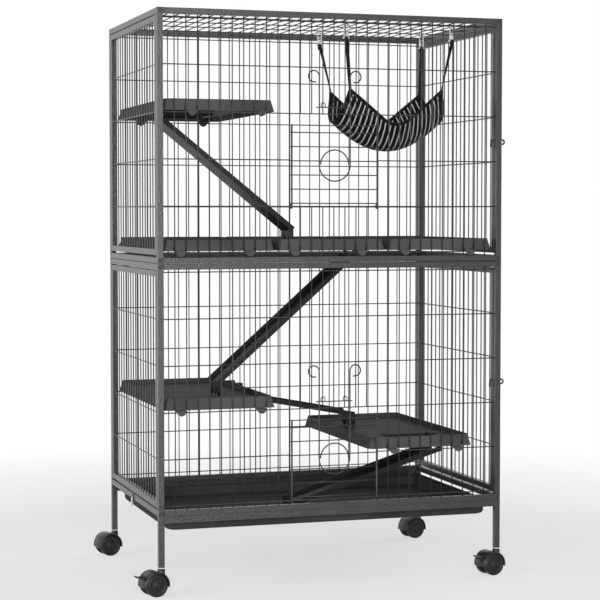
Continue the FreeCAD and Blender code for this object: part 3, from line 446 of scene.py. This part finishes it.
def round_mesh(node):
    """Round wires along the middle lines of the CAD node's straight ones."""
    low, high = solid_boxes(node)
    span = high - low
    along = span == span.max(1, keepdims=True)
    middle = (low + high) / 2
    radius = np.where(along, np.inf, span).min() / 2
    return round_bars(np.where(along, low, middle), np.where(along, high, middle), radius)


def softened(node, edge):
    """Copy of a CAD node, merged, its sharp edges rounded off and its shading smooth across shallow ones."""
    data = cad[node].data.copy()
    form = bmesh.new()
    form.from_mesh(data)
    bmesh.ops.remove_doubles(form, verts=form.verts, dist=MERGE_DISTANCE)
    bmesh.ops.dissolve_limit(form, angle_limit=FLAT_ANGLE, verts=form.verts, edges=form.edges)
    for face in form.faces:
        face.smooth = True
    for line in form.edges:
        line.smooth = line.calc_face_angle(0.0) < SHARP_ANGLE
    form.to_mesh(data)
    form.free()
    made = bpy.data.objects.new("soft_" + node, data)
    bpy.context.scene.collection.objects.link(made)
    bevel = made.modifiers.new("edges", "BEVEL")
    bevel.width = edge
    bevel.segments = 2
    bevel.limit_method = "ANGLE"
    bevel.angle_limit = SHARP_ANGLE
    bevel.harden_normals = True
    weigh = made.modifiers.new("shading", "WEIGHTED_NORMAL")
    weigh.keep_sharp = True
    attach(made, body_of[node])
    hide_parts(node)


# Wire panels, doors and latches, in millimetres

WIRE_PANELS = ("front_mesh_lower", "front_mesh_upper", "back_mesh_lower", "back_mesh_upper", "top_mesh")
WIRE_STEP = 25.8
FRONT_ROW = -250.0
HINGE_ROW = {"lower": 192.0, "upper": 841.0}
DOOR_HALF = 99.35
DOOR_TOP = 179.0
STILE_RADIUS = 2.0
STILE_LOOP = 3.85
STILE_SWEEP = 270
BAR_RADIUS = 1.25
# The next four are heights above the hinge
BAR_LEVELS = np.append(6.7 + 31.0 * np.arange(6), 177.75)
RING_LEVEL = 91.5
CURL_LEVEL = 285.0
KEEPER_LEVEL = 217.3
RING_ROW = -253.34
RING_OUTER = 36.0
RING_INNER = 32.6
RING_WIRE = 1.5
CURL_RADIUS = 12.4
CURL_SWEEP = -272
CURL_TAIL = 5.0
KEEPER_HALF = 42.0
KEEPER_WIRE = 1.0
KEEPER_HOOK = 4.5
KEEPER_RISE = 5.75
LATCH_LEVEL = {"lower": 445.25, "upper": 992.85}
LATCH_ROW = -231.5
LATCH_WIRE = 2.0
LATCH_INSIDE = 382.6
LATCH_ARM = 17.0
LATCH_BEND = 4.0
LATCH_OUTSIDE = 410.4
LATCH_HOOK = 5.0
LATCH_SWEEP = -200


def door_wires(hinge):
    """Two stiles with a loop at the foot, six cross bars and a top bar."""
    foot = arc(FRONT_ROW, hinge, STILE_LOOP, 180, STILE_SWEEP, 10)
    stile = np.vstack([[FRONT_ROW - STILE_LOOP, hinge + DOOR_TOP], foot])
    forms = []
    for x in (-DOOR_HALF, DOOR_HALF):
        forms.append(bent_wire(MM * np.insert(stile, 0, x, axis=1), ACROSS, MM * STILE_RADIUS))
    level = hinge + BAR_LEVELS
    y = np.full_like(level, FRONT_ROW - STILE_LOOP + STILE_RADIUS + BAR_RADIUS)
    reach = np.full_like(level, DOOR_HALF + STILE_RADIUS)
    left, right = [MM * np.stack([s * reach, y, level], 1) for s in (-1, 1)]
    return joined(forms + [round_bars(left, right, MM * BAR_RADIUS)])


def ring_latch(hinge):
    """Sprung wire of curl, leg, lower half of the ring, leg and curl, and the ring's upper half inside it."""
    middle = hinge + RING_LEVEL
    curl = arc(RING_OUTER + CURL_RADIUS, hinge + CURL_LEVEL, CURL_RADIUS, 180, CURL_SWEEP)
    tail = curl[-1:] + CURL_TAIL * unit(curl[-1:] - curl[-2:-1])
    right = np.vstack([arc(0, middle, RING_OUTER, 270, 90), curl, tail])
    main = np.vstack([(right * (-1, 1))[:0:-1], right])
    upper = arc(0, middle, RING_INNER, 0, 180)
    return joined([bent_wire(upright(line, RING_ROW), BACK, MM * RING_WIRE) for line in (main, upper)])


def keeper_wires(level):
    """Straight bar with two small hooks standing on it, each an upside-down U."""
    left, right = [MM * np.array([[s * KEEPER_HALF, FRONT_ROW, level]]) for s in (-1, 1)]
    forms = [round_bars(left, right, MM * BAR_RADIUS)]
    for x in (-WIRE_STEP, WIRE_STEP):
        bow = arc(x, level + KEEPER_RISE, KEEPER_HOOK, 180, -180)
        line = np.vstack([[x - KEEPER_HOOK, level], bow, [x + KEEPER_HOOK, level]])
        forms.append(bent_wire(upright(line, FRONT_ROW), BACK, MM * KEEPER_WIRE))
    return joined(forms)


def side_latch(level):
    """Pin with a short arm inside and a hooked finger outside."""
    elbow = arc(LATCH_INSIDE + LATCH_BEND, level - LATCH_BEND, LATCH_BEND, 180, -90)
    finger = arc(LATCH_OUTSIDE, level - LATCH_HOOK, LATCH_HOOK, 90, LATCH_SWEEP)
    line = np.vstack([[LATCH_INSIDE, level - LATCH_ARM], elbow, finger])
    return bent_wire(upright(line, LATCH_ROW), BACK, MM * LATCH_WIRE)


for node in WIRE_PANELS:
    piece("round_" + node, round_mesh(node), wire_paint, [node])
for storey, hinge in HINGE_ROW.items():
    piece("wire_door_" + storey, door_wires(hinge), wire_paint, ["front_door_" + storey])
    piece("ring_latch_" + storey, ring_latch(hinge), wire_paint, ["door_latch_" + storey])
    piece("turn_latch_" + storey, side_latch(LATCH_LEVEL[storey]), wire_paint, ["side_latch_" + storey])
keepers = joined([keeper_wires(hinge + KEEPER_LEVEL) for hinge in HINGE_ROW.values()])
piece("keeper_springs", keepers, wire_paint, ["door_keepers"])


# Casters, in millimetres, made about a stem at the origin and trailing to the left

STEM_PLACE = (393.5, 247.5)
STEM_SPAN = (57.0, 90.0)
STEM_RADIUS = 4.0
CASTER_TURN = math.radians(13)
HUB = (-18.0, 25.0)
WHEEL_MIDDLE = 15.0
WHEEL_SIDES = 56
ROUND_SIDES = 20
# Distance from the axle and out from the wheel's middle, from the inner face over the tread to the hub
WHEEL_PROFILE = np.array([
    (1.0, -7.0), (20.0, -7.0), (22.4, -6.6), (24.2, -5.6), (25.0, -4.0), (25.0, 4.0),
    (24.2, 5.6), (22.6, 6.6), (20.5, 7.0), (18.4, 6.9), (17.4, 6.3), (16.8, 5.4),
    (16.0, 5.0), (8.2, 5.0), (7.6, 5.9), (6.0, 6.6), (3.4, 6.9), (1.0, 7.0),
])
# Web, hood and rear flap: start and end in degrees from ahead, inner and outer radius, half width
HOOD_BANDS = ((-25, 190, 3.4, 26.4, 7.5), (-10, 138, 26.3, 28.8, 22.2), (132, 190, 26.2, 28.0, 22.0))
BAND_CUT = 0.8
BAND_STEP = 6
NECK = ((-6.5, -7.0, 30.0), (6.5, 7.0, 57.6))
NECK_EDGE = 1.4
LEVER = (-45.37, 40.8)
CHEEK = (7.9, 10.9)
CHEEK_RADIUS = 4.0
CHEEK_LENGTH = 7.6
CHEEK_EDGE = 0.5
PAD_LENGTH = 18.0
PAD_HALF = 7.4
PAD_STRAIGHT = 9.0
PAD_TIP = 9.2
PAD_DEPTH = 2.5
PAD_TAPER = 0.6
PAD_RISE = 6.0
PAD_RINGS = 15
PAD_SIDES = 24
# Half length, radius and sides of the two round bars across the lever
BARREL = (7.5, 3.0, ROUND_SIDES)
PIN = (10.9, 1.5, 16)


def placed(form, sx, sy):
    """Form made about a stem at the origin, turned with the caster and set under its post."""
    points, blocks = form
    c, s = math.cos(CASTER_TURN), math.sin(CASTER_TURN)
    turned = points @ np.array([[c, s, 0], [-s, c, 0], [0, 0, 1]])
    return turned + MM * np.array([sx * STEM_PLACE[0], sy * STEM_PLACE[1], 0.0]), blocks


def caster_wheels():
    """Two wheels: a round-shouldered profile turned about the axle, with a dished face and a domed hub."""
    radius, out = WHEEL_PROFILE.T[:, :, None]
    turn = np.linspace(0, TURN, WHEEL_SIDES, endpoint=False)
    x, z = HUB[0] + radius * np.cos(turn), HUB[1] + radius * np.sin(turn)
    forms = []
    for side in (-1, 1):
        y = side * (WHEEL_MIDDLE + out) + 0 * turn
        forms.append(closed(MM * np.stack([x, y, z], -1)))
    return joined(forms)


def hood_band(start, end, inner, outer, half):
    """Band about the axle: a rectangle with two cut corners carried along an arc, in degrees from ahead."""
    cut = BAND_CUT
    r = np.array([inner, inner, outer - cut, outer, outer, outer - cut])
    w = np.array([-half, half, half, half - cut, cut - half, -half])
    turn = np.radians(np.linspace(start, end, round((end - start) / BAND_STEP) + 1))[:, None]
    rings = np.stack([HUB[0] + r * np.cos(turn), w + 0 * turn, HUB[1] + r * np.sin(turn)], -1)
    return closed(MM * rings)


def caster_housing(braked):
    """Web between the wheels, hood over them, neck and stem, with two cheeks for a lever."""
    forms = [hood_band(*band) for band in HOOD_BANDS]
    forms.append(slab(*NECK, NECK_EDGE))
    foot, head = [MM * np.array([[0, 0, z]]) for z in STEM_SPAN]
    forms.append(round_bars(foot, head, MM * STEM_RADIUS, ROUND_SIDES))
    if braked:
        x, z = LEVER
        for s in (-1, 1):
            start, end = [MM * np.array([[x, s * y, z]]) for y in CHEEK]
            forms.append(round_bars(start, end, MM * CHEEK_RADIUS, ROUND_SIDES))
            front, back = sorted(s * y for y in CHEEK)
            forms.append(slab((x, front, z), (x + CHEEK_LENGTH, back, z + CHEEK_RADIUS), CHEEK_EDGE))
    return joined(forms)


def foot_lever():
    """Barrel, pin and a pad: an oval carried outwards, round at the tip and bent up a little."""
    share = np.sin(np.linspace(0, math.pi / 2, PAD_RINGS))[:, None]
    run = PAD_LENGTH * share
    tip = np.maximum(run - PAD_STRAIGHT, 0) / PAD_TIP
    wide = PAD_HALF * np.sqrt(np.clip(1 - tip ** 2, 0, 1))
    deep = PAD_DEPTH - PAD_TAPER * share ** 2
    rise = PAD_RISE * share ** 1.3
    turn = TURN * np.arange(PAD_SIDES) / PAD_SIDES
    blunt = np.sign(np.cos(turn)) * np.abs(np.cos(turn)) ** 0.6
    x, z = LEVER
    rings = np.stack([x - run + 0 * turn, wide * blunt, z + rise + deep * np.sin(turn)], -1)
    forms = [closed(MM * rings)]
    for half, radius, sides in (BARREL, PIN):
        start, end = [MM * np.array([[x, s * half, z]]) for s in (-1, 1)]
        forms.append(round_bars(start, end, MM * radius, sides))
    return joined(forms)


for corner, (sx, sy) in CORNERS.items():
    braked = sy < 0
    wheels = placed(caster_wheels(), sx, sy)
    piece("turned_wheels_" + corner, wheels, tyre_black, ["caster_wheels_" + corner])
    housing = placed(caster_housing(braked), sx, sy)
    piece("hooded_caster_" + corner, housing, caster_black, ["caster_body_" + corner])
    if braked:
        lever = placed(foot_lever(), sx, sy)
        piece("foot_lever_" + corner, lever, caster_black, ["caster_lever_" + corner])


# Ribs, rims and end plates of the mouldings, in millimetres

SHELF_END = 242.75
SHELF_HEIGHT = 25.0
RIB_IN = (5.4, 7.4)
RIB_HALF = 16.0
RIB_HEIGHT = 10.2
RIB_EDGE = 0.3
DECK_DROP = 12.0
# Length, width and corner radius of a ramp hole
HOLE = (118.0, 114.0, 14.0)
RIM_OUT = (0.2, 2.4)
RIM_DROP = (1.0, 16.0)
RIM_STEP = 15
# Corners of a rim in turn: side along and across, start and sweep in degrees
RIM_CORNERS = ((-1, -1, 210, 60), (1, -1, -90, 90), (1, 1, 0, 90), (-1, 1, 90, 60))
# Gaps between wires that hold a tongue; for a ramp hole its hooked edge, the way it runs and its middle
SHELVES = {
    "shelf_upper": ((-13, -7), (-345.0, 1, -20.0)), "shelf_middle_left": ((-14, -8), None),
    "shelf_middle": ((-4, 2), (105.0, -1, -57.0)), "shelf_middle_right": ((6, 12), None),
    "shelf_lower_left": ((-14, -7), None), "shelf_lower_right": ((5, 11), (283.0, -1, -141.0)),
}
# Foot and middle line of each ramp
RAMP_FEET = {
    "upper": (-38.0, -20.0), "middle": (-222.0, -57.0), "bridge": (151.0, 87.0), "lower": (-72.0, -141.0),
}
PLATE_HALF = 24.0
PLATE_SHEET = 3.0
PLATE_TOP = 31.0
PLATE_SHOULDER = 22.0
PLATE_TIP = 13.0
PLATE_TIP_RADIUS = 11.5
PLATE_STEP = 18
TRAY_END = 383.4
LIP_HALF = 222.0
LIP_SHEET = 2.8
LIP_SPAN = (-0.8, 7.2)
LIP_EDGE = 0.6


def tongue_ribs(top, tongues):
    """Short ribs inside the skirt, one behind each tongue and the slots beside it."""
    foot = top - SHELF_HEIGHT
    forms = []
    for k in tongues:
        x = (k + 0.5) * WIRE_STEP
        for sy in (-1, 1):
            front, back = sorted(sy * (SHELF_END - depth) for depth in RIB_IN)
            forms.append(slab((x - RIB_HALF, front, foot), (x + RIB_HALF, back, foot + RIB_HEIGHT), RIB_EDGE))
    return forms


def hole_rim(top, hook_x, way, mid_y):
    """Wall under three sides of a ramp hole: an upright strip carried round it, open where the ramp hangs."""
    length, width, radius = HOLE
    x, y = length / 2 - radius, width / 2 - radius
    lines = []
    for out in RIM_OUT:
        bends = []
        for i, j, start, sweep in RIM_CORNERS:
            bends.append(arc(i * x, j * y, radius + out, start, sweep, RIM_STEP))
        line = np.vstack(bends)
        lines.append(np.stack([hook_x + way * (length / 2 + line[:, 0]), mid_y + line[:, 1]], 1))
    inner, outer = lines
    high, low = [top - DECK_DROP - drop for drop in RIM_DROP]
    corners = ((inner, high), (outer, high), (outer, low), (inner, low))
    return closed(MM * np.stack([np.insert(line, 2, z, axis=1) for line, z in corners], 1))


def end_plate(node, foot_x, mid_y):
    """Plate between the two feet of a ramp, drawn in to a round tip just above what the feet stand on."""
    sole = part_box(node)[0][2] / MM
    left = [[-PLATE_HALF, sole + PLATE_TOP], [-PLATE_HALF, sole + PLATE_SHOULDER]]
    tip = arc(0, sole + PLATE_TIP, PLATE_TIP_RADIUS, 180, 180, PLATE_STEP)
    right = [[PLATE_HALF, sole + PLATE_SHOULDER], [PLATE_HALF, sole + PLATE_TOP]]
    line = np.vstack([left, tip, right]) + (mid_y, 0)
    rings = [np.insert(line, 0, foot_x + s * PLATE_SHEET / 2, axis=1) for s in (-1, 1)]
    return closed(MM * np.array(rings))


for node, (tongues, hole) in SHELVES.items():
    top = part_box(node)[1][2] / MM
    rims = [hole_rim(top, *hole)] if hole else []
    # The ribs behind the tongue slots take the near-black ramp plastic, darker than the shelf itself: painted
    # shade in the slots
    piece("ribs_" + node, joined(tongue_ribs(top, tongues) + rims), ramp_black, [node])
for name, (foot_x, mid_y) in RAMP_FEET.items():
    piece("end_plate_" + name, end_plate("ramp_" + name, foot_x, mid_y), ramp_black, ["ramp_" + name])
tray_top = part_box("base_tray")[1][2] / MM
lip_foot, lip_head = [tray_top + rise for rise in LIP_SPAN]
lips = []
for sx in (-1, 1):
    left, right = sorted((sx * TRAY_END, sx * (TRAY_END - LIP_SHEET)))
    lips.append(slab((left, -LIP_HALF, lip_foot), (right, LIP_HALF, lip_head), LIP_EDGE))
piece("tray_end_lips", joined(lips), tray_black, ["base_tray"])


# Hammock, in millimetres

CLOTH_MIDDLE = (194.8, -48.2)
CLOTH_HALF = (131.0, 75.0)
CLOTH_SHEET = 1.8
CLOTH_BEND = 62.0
CORNER_CUT = (0.14, 0.08)
CORNER_POWER = (3.2, 6)
CORNER_LEVEL = 1111.0
SIDE_DROP = 73.0
SIDE_POWER = 2.6
EDGE_LOW = 1032.0
BOWL_DROP = 61.0
FOLD_HEIGHT = 2.2
FOLD_WAVES = 7.0
FOLD_PHASE = (1.3, 0.8)
FOLD_PUSH = 0.6
FOLD_SPREAD = 1.45
FOLD_NEAR = 0.12
FOLD_FAR = 0.55
RIBBON_SIDES = 12
TAPE_ROUND = 18.0
BINDING_REACH = 0.955
BINDING_IN = 2.4
BINDING_WIDTH = 8.2
BINDING_SHEET = 4.2
STRAP_WIDTH = 8.4
STRAP_SHEET = 1.4
STRAP_LIFT = 1.7
STRAP_LAP = (0.9, 0.985)
STRAP_RISE = (0.08, 0.93)
STRAP_LOOP = 2.4
STRAP_TAIL = (0.6, -1.2, -11.0)
STRAP_LEAN = (0.55, 0.84)
# Where the clips hang: two columns and two rows of wire
HANG = ((64.5, 322.5), (-144.6, 48.2))
CLIP_FOOT = 1222.4
CLIP_TIP = 1250.0
CLIP_BEND = 1256.1
CLIP_REACH = 2.9
CLIP_HALF = 4.6
CLIP_WIRE = 1.6
CLIP_TIES = ((8.5, CLIP_REACH, CLIP_FOOT), (6.0, -CLIP_REACH, 1250.4), (5.4, CLIP_REACH, 1240.0))
CLIP_PLATE = ((-6.2, 1.2, 1226.6), (6.2, 4.6, 1236.0))
CLIP_EDGE = 0.8


def sag(s, half, edge, low):
    """Height of a hanging strip at share s of its half width: straight sides that meet a round bottom."""
    rise = edge - low - CLOTH_BEND
    slope = np.arcsin(CLOTH_BEND / np.hypot(half, rise)) + np.arctan2(rise, half)
    x = np.abs(s) * half
    touch = CLOTH_BEND * np.sin(slope)
    round_part = CLOTH_BEND - np.sqrt(np.maximum(CLOTH_BEND ** 2 - x ** 2, 0))
    straight = CLOTH_BEND * (1 - np.cos(slope)) + (x - touch) * np.tan(slope)
    return low + np.where(x < touch, round_part, straight)


def cloth_points(s, t):
    """Hammock cloth at (s, t), each from -1 to 1 across and along.

    The side edges fall steeply from the corners by the side drop, and the low point of the strip across
    falls by the bowl drop from the front and back edges to the middle. The strip is straight-sided at the
    front and back edges and turns into a shallow bowl between them. The corners are rounded, and folds fan
    out from them.
    """
    u = s * (1 - CORNER_CUT[0] * np.abs(t) ** CORNER_POWER[0])
    v = t * (1 - CORNER_CUT[1] * np.abs(s) ** CORNER_POWER[1])
    w = 1 - t * t
    edge = CORNER_LEVEL - SIDE_DROP * (1 - np.abs(t) ** SIDE_POWER)
    low = EDGE_LOW - BOWL_DROP * w
    z = (1 - w) * sag(s, CLOTH_HALF[0], edge, low) + w * (low + (edge - low) * np.abs(s) ** 2)
    in_x, in_y = FOLD_SPREAD * (1 - np.abs(s)), 1 - np.abs(t)
    from_corner = np.hypot(in_x, in_y)
    fan = np.arctan2(in_y, in_x + 1e-6)
    start = 1 - np.exp(-(from_corner / FOLD_NEAR) ** 2)
    fold = FOLD_HEIGHT * np.exp(-(from_corner / FOLD_FAR) ** 2) * start
    phase = FOLD_PHASE[0] * np.sign(s) + FOLD_PHASE[1] * np.sign(t)
    wave = fold * np.cos(FOLD_WAVES * fan + phase)
    x = CLOTH_MIDDLE[0] + CLOTH_HALF[0] * u + FOLD_PUSH * wave * np.sign(s)
    y = CLOTH_MIDDLE[1] + CLOTH_HALF[1] * v
    return MM * np.stack([x, y, z + wave], -1)


def grid_faces(index):
    """Four-cornered faces of a grid of points."""
    a, b, c, d = index[:-1, :-1], index[1:, :-1], index[1:, 1:], index[:-1, 1:]
    return np.stack([a, b, c, d], -1).reshape(-1, 4)


def run_lengths(points, axis):
    """Length along the rows of a grid from its first row, in one direction."""
    step = np.linalg.norm(np.diff(points, axis=axis), axis=-1)
    start = np.zeros_like(np.take(step, [0], axis=axis))
    return np.concatenate([start, np.cumsum(step, axis=axis)], axis=axis)


def set_flat(made, flat):
    """UV map with the place of each point on the flat cloth, in metres."""
    corner = np.empty(len(made.data.loops), int)
    made.data.loops.foreach_get("vertex_index", corner)
    made.data.uv_layers.new(name="flat").data.foreach_set("uv", flat.reshape(-1, 2)[corner].reshape(-1))


def ribbon(path, wide, thick, width, sheet):
    """Rings of a flat band with rounded edges: a flattened oval carried along a path.

    wide and thick are unit vectors across the band and through it at each point of the path.
    """
    turn = TURN * np.arange(RIBBON_SIDES) / RIBBON_SIDES
    across = width / 2 * np.sign(np.cos(turn)) * np.abs(np.cos(turn)) ** 0.5
    through = sheet / 2 * np.sin(turn)
    return path[:, None] + across[:, None] * wide[:, None] + through[:, None] * thick[:, None]


def looped(rings):
    """Closed tube through rings of points whose last joins the first."""
    index = np.arange(rings.shape[0] * rings.shape[1]).reshape(rings.shape[:2])
    return rings.reshape(-1, 3), [between_rings(np.vstack([index, index[:1]]))]


def hammock_cloth(across, along):
    """The cloth as a grid with its flat map; returns the object and its flat width, length and area."""
    s, t = np.meshgrid(np.linspace(-1, 1, across), np.linspace(-1, 1, along), indexing="ij")
    points = cloth_points(s, t)
    index = np.arange(s.size).reshape(s.shape)
    form = (points.reshape(-1, 3), [grid_faces(index)])
    made = piece("hammock_sling", form, sling_cloth, ["hammock_cloth"])
    wide, deep = run_lengths(points, 0), run_lengths(points, 1)
    width, length = wide[-1].max(), deep[:, -1].max()
    set_flat(made, np.stack([wide / wide[-1:] * width, deep / deep[:, -1:] * length], -1))
    a, b = np.diff(points, axis=0)[:, 1:], np.diff(points, axis=1)[1:]
    area = np.linalg.norm(np.cross(a, b), axis=-1).sum()
    thick = made.modifiers.new("cloth", "SOLIDIFY")
    thick.thickness = MM * CLOTH_SHEET
    thick.offset = 0.0
    return made, width, length, area


def tape_map(path):
    """Place of each point of a ribbon on its flat tape: round its section and along its path."""
    around = np.linspace(0, MM * TAPE_ROUND, RIBBON_SIDES)
    run = run_lengths(path, 0)
    return np.stack(np.broadcast_arrays(around[None], run[:, None]), -1).reshape(-1, 2)


def hammock_binding(count):
    """Tape folded over the edge of the cloth: a flattened oval carried round it."""
    q = np.linspace(-1, 1, count, endpoint=False)
    one = np.ones_like(q)
    s = np.concatenate([q, one, -q, -one])
    t = np.concatenate([-one, q, one, -q])
    edge = cloth_points(s, t)
    wide = unit(cloth_points(BINDING_REACH * s, BINDING_REACH * t) - edge)
    along = unit(np.roll(edge, -1, 0) - np.roll(edge, 1, 0))
    thick = unit(np.cross(along, wide))
    wide = np.cross(thick, along)
    rings = ribbon(edge + MM * BINDING_IN * wide, wide, thick, MM * BINDING_WIDTH, MM * BINDING_SHEET)
    made = piece("hammock_edge_tape", looped(rings), binding_tape, ["hammock_straps"])
    set_flat(made, tape_map(edge))
    return made


def hammock_straps():
    """Webbing from each corner of the cloth: sewn on it, up to the clip, round its bar and down again."""
    forms, flats = [], []
    for sx, x in zip((-1, 1), HANG[0]):
        for sy, y in zip((-1, 1), HANG[1]):
            lap = np.linspace(*STRAP_LAP, 6)
            sewn = cloth_points(sx * lap, sy * lap) + MM * STRAP_LIFT * UP
            bar = MM * np.array([x, y + CLIP_REACH, CLIP_FOOT])
            loop = MM * STRAP_LOOP * BACK
            rise = np.linspace(*STRAP_RISE, 9)[:, None]
            up = sewn[-1] + (bar - loop - sewn[-1]) * rise
            turn = np.radians(np.linspace(180, 0, 9))[:, None]
            over = bar + np.cos(turn) * loop + np.sin(turn) * MM * STRAP_LOOP * UP
            hang = MM * np.array([-sx * STRAP_TAIL[0], STRAP_TAIL[1], STRAP_TAIL[2]])
            down = bar + loop + np.linspace(0.15, 1, 5)[:, None] * hang
            path = np.vstack([sewn, up, over, down])
            along = unit(np.gradient(path, axis=0))
            share = np.clip((path[:, 2:] - sewn[-1, 2]) / (bar[2] - sewn[-1, 2]), 0, 1)
            lean = unit(np.array([STRAP_LEAN[0], -sx * sy * STRAP_LEAN[1], 0.0]))
            wide = (1 - share) * lean + share * ACROSS
            wide = unit(wide - np.sum(wide * along, 1, keepdims=True) * along)
            thick = np.cross(along, wide)
            forms.append(carried(ribbon(path, wide, thick, MM * STRAP_WIDTH, MM * STRAP_SHEET)))
            flats.append(tape_map(path))
    made = piece("hammock_webbing", joined(forms), strap_tape, ["hammock_straps"])
    set_flat(made, np.concatenate(flats))
    return made


def hammock_clips():
    """Two hooks side by side over the row of wire, with a bar and a plate at the foot and two bars above."""
    bow = arc(0, CLIP_BEND, CLIP_REACH, 0, 180)
    hook = np.vstack([[CLIP_REACH, CLIP_FOOT], bow, [-CLIP_REACH, CLIP_TIP]])
    right = MM * np.array(CLIP_TIES)
    left = right * (-1, 1, 1)
    forms = []
    for x in HANG[0]:
        for y in HANG[1]:
            at = MM * np.array([x, y, 0.0])
            for side in (-CLIP_HALF, CLIP_HALF):
                path = at + MM * np.insert(hook, 0, side, axis=1)
                forms.append(bent_wire(path, ACROSS, MM * CLIP_WIRE))
            forms.append(round_bars(at + left, at + right, MM * CLIP_WIRE))
            low, high = [np.array([x, y, 0.0]) + corner for corner in CLIP_PLATE]
            forms.append(slab(low, high, CLIP_EDGE))
    piece("hammock_hooks", joined(forms), clip_clear, ["hammock_clips"])


sling_cloth = striped_cloth("striped_sling", step=0.0135, line=0.0032)
binding_tape = webbing("black_edge_tape", 0.005, pick=0.0016)
strap_tape = webbing("black_strap_tape", 0.006, pick=0.0018)
sling, sling_width, sling_length, sling_area = hammock_cloth(across=97, along=65)
edge_tape = hammock_binding(count=60)
straps = hammock_straps()
hammock_clips()


# Moulded and folded pieces, with the width of their rounded edges in metres

EDGES = {"shelf_plastic": 0.0008, "ramp_plastic": 0.0006, "tray_plastic": 0.0007,
         "cap_plastic": 0.0003, "socket_plastic": 0.0003, "clip_metal": 0.0002,
         "fittings": 0.0002}
for node, slot in slot_of.items():
    if slot in EDGES:
        softened(node, EDGES[slot])


# Camera, light and floor, in metres and degrees; the lens in millimetres

SENSOR = 36.0
LENS = 108.59
CAMERA_PLACE = (-1.27855, -4.04234, 0.82851)
CAMERA_DIP = 2.782
CAMERA_TURN = -17.548
FAR_LIMIT = 60.0
CAGE_MIDDLE = np.array([0.0, 0.0, 0.65])


def camera():
    """The photograph's viewpoint: a long lens low on the left of the front."""
    data = bpy.data.cameras.new("camera")
    data.sensor_width = SENSOR
    data.lens = LENS
    data.clip_end = FAR_LIMIT
    seat = bpy.data.objects.new("camera", data)
    seat.location = CAMERA_PLACE
    seat.rotation_euler = (math.radians(90 - CAMERA_DIP), 0, math.radians(CAMERA_TURN))
    bpy.context.scene.collection.objects.link(seat)
    bpy.context.scene.camera = seat


def soft_light(name, place, size, power):
    """Square area lamp turned towards the middle of the cage."""
    data = bpy.data.lights.new(name, "AREA")
    data.shape = "SQUARE"
    data.size = size
    data.energy = power
    lamp = bpy.data.objects.new(name, data)
    lamp.location = place
    way = CAGE_MIDDLE - np.array(place)
    pitch = math.atan2(math.hypot(way[0], way[1]), -way[2])
    lamp.rotation_euler = (pitch, 0, math.atan2(way[1], way[0]) - math.pi / 2)
    bpy.context.scene.collection.objects.link(lamp)


def studio_world(ambient):
    """Soft ambient light; white where the camera, a reflection or clear plastic sees it."""
    world = bpy.data.worlds.new("studio")
    world.use_nodes = True
    tree = world.node_tree
    path = add(tree, "ShaderNodeLightPath")
    seen = reckon(tree, "MAXIMUM", path.outputs["Is Camera Ray"], path.outputs["Is Glossy Ray"])
    seen = reckon(tree, "MAXIMUM", seen, path.outputs["Is Transmission Ray"])
    back = tree.nodes["Background"]
    back.inputs["Color"].default_value = (1, 1, 1, 1)
    tree.links.new(levels(tree, seen, ambient, 1.0), back.inputs["Strength"])
    bpy.context.scene.world = world


def floor(radius, clear, clear_from, clear_to, sides=96):
    """Flat disc with a soft shadow, partly clear, fading into the white backdrop away from the cage."""
    turn = np.linspace(0, TURN, sides, endpoint=False)
    rim = np.stack([radius * np.cos(turn), radius * np.sin(turn), np.zeros_like(turn)], 1)
    data = bpy.data.meshes.new("floor")
    data.from_pydata(rim.tolist(), [], [list(range(len(rim)))])
    plane = bpy.data.objects.new("floor", data)
    bpy.context.scene.collection.objects.link(plane)
    mat, tree, shader, place = blank("pale_floor", 0.9, Specular_IOR_Level=0.0)
    path = add(tree, "ShaderNodeLightPath")
    seen = reckon(tree, "MAXIMUM", path.outputs["Is Camera Ray"], path.outputs["Is Glossy Ray"])
    tree.links.new(mixed(tree, seen, grey(0.3), grey(0.92)), shader.inputs["Base Color"])
    far = add(tree, "ShaderNodeVectorMath", operation="LENGTH")
    tree.links.new(place, far.inputs[0])
    blend = add(tree, "ShaderNodeMixShader")
    tree.links.new(levels(tree, far.outputs["Value"], clear, 1.0, clear_from, clear_to), blend.inputs["Fac"])
    tree.links.new(shader.outputs["BSDF"], blend.inputs[1])
    tree.links.new(add(tree, "ShaderNodeBsdfTransparent").outputs["BSDF"], blend.inputs[2])
    tree.links.new(blend.outputs["Shader"], tree.nodes["Material Output"].inputs["Surface"])
    data.materials.append(mat)


camera()
studio_world(ambient=0.2)
soft_light("key", (-3.9, -0.7, 1.3), 2.2, 65)
soft_light("front", (-0.9, -4.6, 1.1), 2.5, 175)
soft_light("fill", (3.4, 1.4, 1.6), 2.5, 45)
floor(radius=5.0, clear=0.6, clear_from=0.9, clear_to=2.2)
bpy.context.scene.view_settings.view_transform = "Standard"
